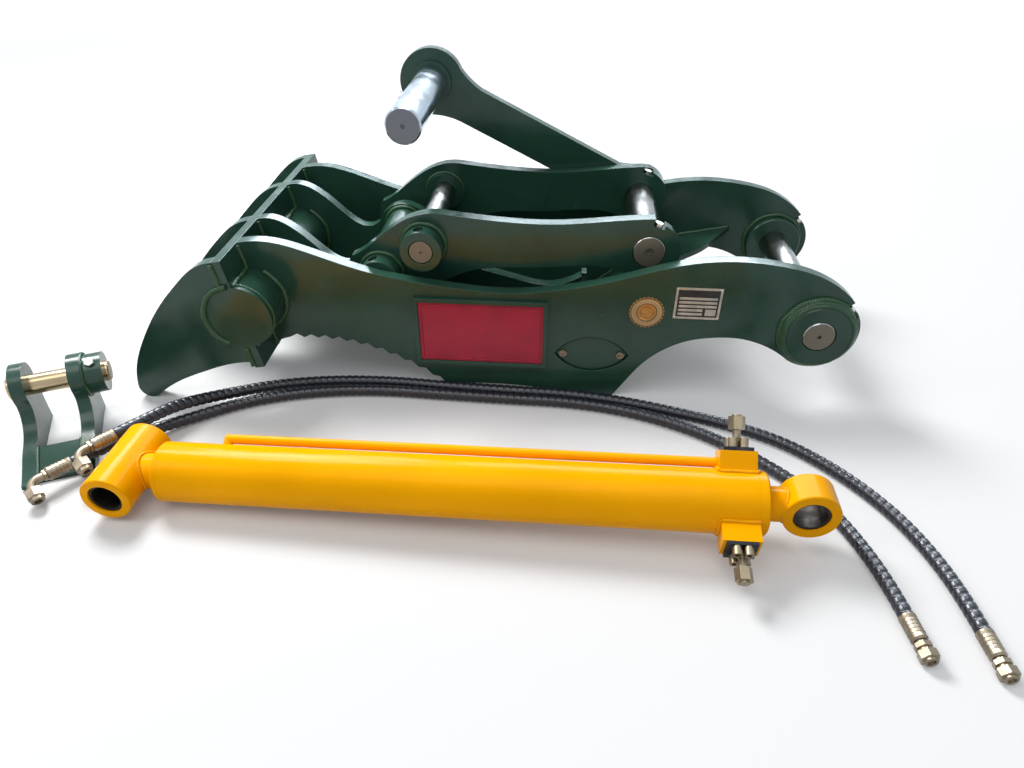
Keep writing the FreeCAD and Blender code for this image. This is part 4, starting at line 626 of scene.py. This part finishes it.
class THUMB_OT_hoses(Maker):
    """Lays the two hoses with their spiral guard and fittings"""

    bl_idname = "thumb.hoses"
    bl_label = "Hoses"

    def execute(self, context):
        size = sizes()
        full, groove, pitch = size.hose_width / 2, size.guard_groove, size.guard_pitch
        fine_step = 0.0019

        def reach(distance, angle):
            phase = (distance / pitch - angle / math.tau) % 1.0
            edge = min(phase, 1 - phase)
            return full - groove * max(0.0, 1 - edge / 0.17) ** 0.6

        for name, route in (("front_hose", FRONT_ROUTE), ("back_hose", BACK_ROUTE)):
            line = hose_line(name, route)
            points = even(line, fine_step)
            skin = Shape().sweep(points, reach, 24)
            tube = skin.piece(name + "_tube", "guard", ROOT, "hose_guard", 60)
            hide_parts(name)
            elbow = self.elbow(name, route)
            tail = self.tail(name, route)
            if name == "front_hose":
                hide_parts("hose_elbows")
                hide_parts("hose_end_fittings")
        return {"FINISHED"}

    def elbow(self, name, route):
        """A bent tube with its ferrule and swivel nut."""
        points = route_points(route)
        way = (points[0] - points[1]).normalized()
        shape = crimped_ferrule(Shape(), points[0], way)
        base = points[0] + way * FERRULE_LENGTH
        aside = Vector((-way.y, way.x, 0)).normalized() - Z * 0.5
        side = (aside - way * aside.dot(way)).normalized()
        shape.hexagon(base, way, 0.0195, 0.006)
        bend, turn = 0.018, math.radians(85)
        entry = base + way * 0.014
        middle = entry + side * bend
        path = [base, base + way * 0.007]
        for number in range(13):
            angle = turn * number / 12
            path.append(middle + way * bend * math.sin(angle) - side * bend * math.cos(angle))
        shape.sweep(path, 0.0075, 24)
        out = (way * math.cos(turn) + side * math.sin(turn)).normalized()
        shape.lathe(path[-1] - out * 0.003, out, [(0, 0.0085), (0.002, 0.0105), (0.003, 0.0105)], 32)
        shape.hexagon(path[-1] + out * 0.0001, out, 0.027, 0.018)
        mouth = [(0, 0.0118), (0.007, 0.0118), (0.0083, 0.0105), (0.0083, 0.0065), (0.002, 0.0060)]
        shape.lathe(path[-1] + out * 0.0178, out, mouth, 32)
        return shape.piece(name + "_elbow", "plated", ROOT, "plated_steel")

    def tail(self, name, route):
        """A straight end fitting with its fixed hexagon and its swivel nut."""
        points = route_points(route)
        way = (points[-1] - points[-2]).normalized()
        shape = crimped_ferrule(Shape(), points[-1], way)
        base = points[-1] + way * FERRULE_LENGTH
        shape.lathe(base, way, [(0, 0.0085), (0.003, 0.0085)], 32)
        shape.hexagon(base + way * 0.003, way, 0.023, 0.009)
        shape.lathe(base + way * 0.012, way, [(0, 0.0095), (0.004, 0.0095)], 32)
        shape.hexagon(base + way * 0.016, way, 0.026, 0.014)
        mouth = [(0, 0.0105), (0.003, 0.0105), (0.004, 0.0095), (0.004, 0.0060), (0.001, 0.0055)]
        shape.lathe(base + way * 0.030, way, mouth, 32)
        return shape.piece(name + "_fitting", "plated", ROOT, "plated_steel")


class THUMB_OT_paint(Maker):
    bl_idname = "thumb.paint"
    bl_label = "Paint and metal"

    def execute(self, context):
        special = {"bracket_pin": "bracket_pin", "port_fittings": "brass", "port_bolts": "brass",
                   "main_pin_lock_bolts": "zinc", "link_lock_bolts": "zinc", "arm_lock_bolt": "zinc",
                   "bracket_lock_bolt": "zinc", "arm_pin": "dark_pin"}
        slots = {entry["node"]: entry["material_slot"] for entry in frame["record"]["subparts"]}
        for node, solid in NODES.items():
            finish = special.get(node, SLOT_FINISH[slots[node]])
            for slot in solid.material_slots:
                slot.material = MATERIALS[finish]
        return {"FINISHED"}


class THUMB_OT_frame_welds(Maker):
    """Runs the weld beads of the thumb frame"""

    bl_idname = "thumb.frame_welds"
    bl_label = "Frame welds"

    def execute(self, context):
        leg = sizes().weld_leg
        lean = math.radians(CROSS_PLATE_LEAN)
        tube_x, tube_z = TORQUE_TUBE

        def leaned(back, up, y):
            """A point beside the torque tube, turned with the cross plates."""
            return at(tube_x + back * math.cos(lean) - up * math.sin(lean), y,
                      tube_z + back * math.sin(lean) + up * math.cos(lean))

        shape = Shape()
        # Plates behind the cross plates, then the tines in front of them.
        low, high = SIDE_PLATE
        behind = [-high, -low, low, high, *INNER_RIBS]
        low, high = OUTER_TINE
        front = [-high, -low, *INNER_RIBS, low, high]
        for side, facing, faces in ((1, 0, behind), (-1, 180, front)):
            start = facing - 72 - CROSS_PLATE_LEAN
            end = facing + 72 - CROSS_PLATE_LEAN
            for face in faces:
                arc = ring_path(at(tube_x, face, tube_z), -Y, 0.0695, start, end, X)
                bead_into(shape, arc, leg * 1.1)
                for bottom, top in ((70, 118), (-112, -70)):
                    seam = [leaned(side * 11.5, bottom, face), leaned(side * 11.5, top, face)]
                    bead_into(shape, seam, leg)
        # Long seams of the two cross plates along the tube, and the rings of its end caps.
        for up in (66, -66):
            for back in (-12, 12):
                bead_into(shape, [leaned(back, up, -306), leaned(back, up, 306)], leg)
        for end in (-297.4, 297.4):
            bead_round(shape, tube_x, end, tube_z, 0.0664, leg * 0.55)
        # Seams of the arch plate on both side plates, above and below it.
        arch = [(-440, -162), (-371, -104), (-320, -58), (-268, -20),
                (-220, -3), (-186, 4), (-151, 11), (-108, 20)]
        for offset in (-0.5, 12.5):
            seam = []
            for number, (x, z) in enumerate(arch):
                before, after = arch[max(number - 1, 0)], arch[min(number + 1, len(arch) - 1)]
                run, rise = after[0] - before[0], after[1] - before[1]
                span = math.hypot(run, rise)
                seam.append((x - rise / span * offset, z + run / span * offset))
            for y in (-202, 202):
                bead_into(shape, [at(x, y, z) for x, z in seam], leg * 0.8)
        shape.piece("frame_weld_beads", "weld", ROOT, "green_paint", 80)
        return {"FINISHED"}


class THUMB_OT_pivot_welds(Maker):
    """Runs the weld beads round the pivot bosses and the link pivot tube"""

    bl_idname = "thumb.pivot_welds"
    bl_label = "Pivot welds"

    def execute(self, context):
        leg = sizes().weld_leg
        inside, outside = SIDE_PLATE
        shape = Shape()
        # Stacked beads of a boss: millimetres out of the plate, radius, width in weld legs.
        stack = ((12.5, 0.0655, 1.0), (7.5, 0.0675, 1.25), (2.5, 0.0700, 1.25))
        for side in (-1, 1):
            for out, radius, width in stack:
                bead_round(shape, 0, side * (outside + out), 0, radius, leg * width)
            # The bead at the boss's foot is open where the lock bolt's notch is.
            foot = ring_path(at(0, side * (outside + 1), 0), -Y, 0.0735, 55, 389, X)
            bead_into(shape, foot, leg * 1.1)
        for face in (-inside, inside):
            bead_round(shape, 0, face, 0, 0.066, leg)
        pivot_x, pivot_z = LINK_PIVOT
        for face in INNER_RIBS:
            bead_round(shape, pivot_x, face, pivot_z, 0.0425, leg * 0.9)
        shape.piece("pivot_weld_beads", "weld", ROOT, "green_paint", 80)
        link = Shape()
        for x, z in (LINK_PIVOT, CYLINDER_PIN):
            for face in (-160, 160):
                bead_round(link, x, face, z, 0.0445, leg * 0.9)
        pin_x, pin_z = CYLINDER_PIN
        for face in (-135, 135):
            bead_round(link, pin_x, face, pin_z, 0.0435, leg * 0.7)
        link.piece("link_weld_beads", "weld", LINK, "green_paint", 80)
        return {"FINISHED"}


class THUMB_OT_name_panel(Maker):
    """Finishes the bare name panel with a raised inner border"""

    bl_idname = "thumb.name_panel"
    bl_label = "Name panel"

    def execute(self, context):
        low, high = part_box("badge_panel")
        front = low.y - 0.0006
        radius = 0.008
        inset = 0.006 + radius
        left, right = low.x + inset, high.x - inset
        bottom, top = low.z + inset, high.z - inset
        line = []
        rounds = ((right, top, 0), (left, top, 90), (left, bottom, 180), (right, bottom, 270))
        for x, z, first in rounds:
            for step in range(7):
                turn = math.radians(first + step * 15)
                line.append(Vector((x + radius * math.cos(turn), front, z + radius * math.sin(turn))))
        border = Shape().sweep(line, 0.0011, 8, True)
        border.piece("name_panel_border", "red", ROOT, "red_panel", 60)
        return {"FINISHED"}


class THUMB_OT_data_plate(Maker):
    """Finishes the data plate: bare rows, a dark ground and four rivets"""

    bl_idname = "thumb.data_plate"
    bl_label = "Data plate"

    def execute(self, context):
        low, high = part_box("data_plate")
        front = low.y
        wide, tall = high.x - low.x, high.z - low.z

        def slab(shape, left, right, bottom, top, thick):
            """A thin block on the plate, its edges in shares of the plate's width and height."""
            shares = ((left, bottom), (right, bottom), (right, top), (left, top))
            corners = [(low.x + x * wide, low.z + z * tall) for x, z in shares]
            depths = (front + 0.0001, front - thick)
            shape.rings([[Vector((x, y, z)) for x, z in corners] for y in depths])

        ground = Shape()
        slab(ground, 0.05, 0.95, 0.07, 0.93, 0.0003)
        ground.piece("data_plate_ground", "plate_ink", ROOT, "black_steel", 20)
        rows = Shape()
        for row in range(5):
            top = 0.70 - row * 0.125
            slab(rows, 0.09, 0.91 if row < 3 else 0.62, top - 0.075, top, 0.0006)
        slab(rows, 0.68, 0.91, 0.125, 0.325, 0.0006)
        rows.piece("data_plate_rows", "plate", ROOT, "plate_alloy", 20)
        rivets = Shape()
        head = [(0, 0.0021), (0.0004, 0.0021), (0.0010, 0.0015), (0.0012, 0.0004)]
        for x in (0.03, 0.97):
            for z in (0.05, 0.95):
                spot = Vector((low.x + x * wide, front, low.z + z * tall))
                rivets.lathe(spot, -Y, head, 20)
        rivets.piece("data_plate_rivets", "zinc", ROOT, "plated_steel")
        return {"FINISHED"}


class THUMB_OT_seal(Maker):
    """Sticks the plain gold seal on the near side plate"""

    bl_idname = "thumb.seal"
    bl_label = "Gold seal"

    def execute(self, context):
        radius = sizes().seal_width / 2
        middle = at(-338, -SIDE_PLATE[1], 30)
        out = -Y
        scallops = 26
        steps = scallops * 6

        def spoke(turn):
            return X * math.cos(turn) + Z * math.sin(turn)

        loops = []
        for thick, share in ((0.0, 1.0), (0.0010, 1.0), (0.0012, 0.97)):
            loop = []
            for step in range(steps):
                turn = math.tau * step / steps
                lobe = 1 - 0.085 * (1 - abs(math.sin(turn * scallops / 2)))
                loop.append(middle + out * thick + spoke(turn) * radius * lobe * share)
            loops.append(loop)
        Shape().rings(loops).piece("gold_seal", "gold", ROOT, "bush_bronze", 30)
        inner, outer = radius * 0.60, radius * 0.86
        band = [(0, outer), (0.0003, outer), (0.0003, inner), (0, inner)]
        pale = Shape().lathe(middle + out * 0.0011, out, band, 72, True)
        pale.piece("gold_seal_band", "cream", ROOT, "plate_alloy", 30)
        core = Shape()
        face = middle + out * 0.0014
        for share, width in ((0.90, 0.0008), (0.57, 0.0007), (0.36, 0.0004)):
            core.sweep(ring_path(face, out, radius * share), width, 8, True)
        for step in range(40):
            way = spoke(math.tau * step / 40) * radius
            core.sweep([face + way * 0.62, face + way * 0.82], 0.0004, 6)
        core.piece("gold_seal_rings", "brown", ROOT, "bush_bronze", 60)
        return {"FINISHED"}


class THUMB_OT_cylinder_details(Maker):
    """Runs the weld beads of the cylinder and its rod eye"""

    bl_idname = "thumb.cylinder_details"
    bl_label = "Cylinder welds"

    def execute(self, context):
        shape = Shape()
        bead_into(shape, ring_path(on_ram(70, 0, 0), RAM_TURN @ X, 0.032), 0.006, True)
        bead_into(shape, self.saddle(0.5, 1, 44.5, 31.5, 31.5, 72), 0.007, True)
        for side, angle in ((-1, 15), (1, 48)):
            self.port_beads(shape, side, math.radians(angle))
        shape.piece("cylinder_weld_beads", "yellow_weld", ROOT, "yellow_paint", 80)
        rod = Shape()
        bead_into(rod, self.saddle(1178.0, -1, 46.5, 27, 28.5, 60), 0.006, True)
        rod.piece("rod_eye_weld_bead", "yellow_weld", ROD, "yellow_paint", 80)
        return {"FINISHED"}

    def saddle(self, eye, way, reach, wide, tall, steps):
        """The line where a neck, wide by tall, meets a round eye, in the cylinder's frame."""
        path = []
        for step in range(steps):
            turn = math.tau * step / steps
            y, z = wide * math.cos(turn), tall * math.sin(turn)
            path.append(on_ram(eye + way * math.sqrt(reach ** 2 - z ** 2), y, z))
        return path

    def port_beads(self, shape, side, turn):
        """Four beads round the foot of a port block that leans by a turn."""
        out = Vector((0, side * math.cos(turn), side * math.sin(turn)))
        over = Vector((0, -side * math.sin(turn), side * math.cos(turn)))
        barrel, half = 53.5, 23
        back, front = 1032, 1092

        def on_barrel(x, aside, lift):
            spot = out * (math.sqrt(barrel ** 2 - aside ** 2) + lift) + over * aside
            return on_ram(x, spot.y, spot.z)

        bead_into(shape, [on_barrel(back, -half, 1), on_barrel(front, -half, 1)], 0.007)
        bead_into(shape, [on_barrel(front, half, 1), on_barrel(back, half, 1)], 0.007)
        for x in (front + 1.5, back - 1.5):
            path = [on_barrel(x, -half + 2 * half * step / 12, 0.5) for step in range(13)]
            bead_into(shape, path, 0.007)


class THUMB_OT_bracket_welds(Maker):
    """Runs the weld beads of the cylinder bracket"""

    bl_idname = "thumb.bracket_welds"
    bl_label = "Bracket welds"

    def execute(self, context):
        shape = Shape()
        bead_into(shape, ring_path(on_bracket(0, 112.5, 110), BRACKET_TURN @ Y, 0.0405), 0.008, True)
        for y in (12.5, 87.5):
            bead_into(shape, [on_bracket(102, y, 32), on_bracket(173, y, 9)], 0.007)
            bead_into(shape, [on_bracket(102, y, 5), on_bracket(102, y, 31)], 0.006)
        shape.piece("bracket_weld_beads", "weld", ROOT, "green_paint", 80)
        return {"FINISHED"}


class THUMB_OT_stage(Maker):
    """Sets the pale floor, the soft lights and the world"""

    bl_idname = "thumb.stage"
    bl_label = "Stage"

    def execute(self, context):
        scene = context.scene
        edge, sunk = 30, -0.0005
        corners = [(-edge, -edge, sunk), (edge, -edge, sunk), (edge, edge, sunk), (-edge, edge, sunk)]
        floor_mesh = bpy.data.meshes.new("pale_floor")
        floor_mesh.from_pydata(corners, [], [(0, 1, 2, 3)])
        floor_mesh.materials.append(self.floor_material())
        floor = bpy.data.objects.new("pale_floor", floor_mesh)
        scene.collection.objects.link(floor)
        # Each lamp's name, place, aim, width in metres and power in watts.
        for name, spot, aim, width, power in (
                ("overhead_softbox", (-1.5, 1.3, 2.6), (0, 0, 0.2), 1.3, 150),
                ("left_softbox", (-2.6, -1.2, 2.4), (-0.3, 0, 0.2), 1.4, 24),
                ("front_overhead_softbox", (-0.2, -1.3, 3.4), (0, 0, 0.2), 2.4, 40),
                ("front_softbox", (1.2, -3.2, 2.2), (0, 0, 0.2), 2.2, 7)):
            self.lamp(name, spot, aim, width, width, power)
        window = self.lamp("back_window", (0, 3.6, 3.1), (0, 0, 0.3), 6.0, 2.2, 600)
        window.data.color = (0.80, 0.90, 1.0)
        window.visible_diffuse = False
        world = bpy.data.worlds.new("studio")
        scene.world = world
        world.use_nodes = True
        nodes, links = world.node_tree.nodes, world.node_tree.links
        back = nodes["Background"]
        links.new(white_to_camera(nodes, links, (0.82, 0.91, 1)), back.inputs["Color"])
        seen = sees_backdrop(nodes, links)
        links.new(remapped(nodes, links, seen, 0, 1, 0.31, 1.0), back.inputs["Strength"])
        return {"FINISHED"}

    def lamp(self, name, spot, aim, width, height, power):
        """A soft lamp in its place, turned to what it lights."""
        light = bpy.data.lights.new(name, "AREA")
        light.shape = "RECTANGLE"
        light.size = width
        light.size_y = height
        light.energy = power
        holder = bpy.data.objects.new(name, light)
        holder.location = spot
        holder.rotation_euler = (Vector(aim) - Vector(spot)).to_track_quat("-Z", "Y").to_euler()
        bpy.context.scene.collection.objects.link(holder)
        return holder

    def floor_material(self):
        made = bpy.data.materials.new("pale_floor")
        made.use_nodes = True
        nodes, links = made.node_tree.nodes, made.node_tree.links
        nodes.clear()
        diffuse = nodes.new("ShaderNodeBsdfDiffuse")
        grain = nodes.new("ShaderNodeTexNoise")
        grain.inputs["Scale"].default_value = 3
        tint = remapped(nodes, links, grain.outputs["Fac"], 0, 1, 0.58, 0.61)
        links.new(tint, diffuse.inputs["Color"])
        far = nodes.new("ShaderNodeVectorMath")
        far.operation = "DISTANCE"
        links.new(nodes.new("ShaderNodeTexCoord").outputs["Object"], far.inputs[0])
        far.inputs[1].default_value = (-0.5, -0.3, 0)
        fade = remapped(nodes, links, far.outputs["Value"], 0.55, 6.0, 0.08, 1.0)
        seen = nodes.new("ShaderNodeMath")
        seen.operation = "MULTIPLY"
        links.new(sees_backdrop(nodes, links), seen.inputs[0])
        links.new(fade, seen.inputs[1])
        glow = nodes.new("ShaderNodeEmission")
        links.new(white_to_camera(nodes, links, (0.70, 0.88, 1)), glow.inputs["Color"])
        links.new(seen.outputs[0], glow.inputs["Strength"])
        both = nodes.new("ShaderNodeAddShader")
        links.new(diffuse.outputs[0], both.inputs[0])
        links.new(glow.outputs[0], both.inputs[1])
        out = nodes.new("ShaderNodeOutputMaterial")
        links.new(both.outputs[0], out.inputs["Surface"])
        return made


STEPS = (THUMB_OT_camera, THUMB_OT_hoses, THUMB_OT_paint, THUMB_OT_frame_welds, THUMB_OT_pivot_welds,
         THUMB_OT_name_panel, THUMB_OT_data_plate, THUMB_OT_seal, THUMB_OT_cylinder_details,
         THUMB_OT_bracket_welds, THUMB_OT_stage)


class THUMB_PT_kit(bpy.types.Panel):
    bl_idname = "THUMB_PT_kit"
    bl_label = "Thumb Kit"
    bl_space_type = "VIEW_3D"
    bl_region_type = "UI"
    bl_category = "Thumb Kit"

    def draw(self, context):
        for group in (context.scene.thumb_finishes, context.scene.thumb_sizes):
            box = self.layout.box()
            for name in group.__annotations__:
                box.prop(group, name)
        for step in STEPS:
            self.layout.operator(step.bl_idname)


CLASSES = (Finishes, Sizes, *STEPS, THUMB_PT_kit)


def register():
    for item in CLASSES:
        bpy.utils.register_class(item)
    bpy.types.Scene.thumb_finishes = bpy.props.PointerProperty(type=Finishes)
    bpy.types.Scene.thumb_sizes = bpy.props.PointerProperty(type=Sizes)


def unregister():
    del bpy.types.Scene.thumb_sizes
    del bpy.types.Scene.thumb_finishes
    for item in reversed(CLASSES):
        bpy.utils.unregister_class(item)


def main():
    register()
    mix_materials()
    for step in STEPS:
        group, name = step.bl_idname.split(".")
        getattr(getattr(bpy.ops, group), name)()


if __name__ == "__main__":
    main()
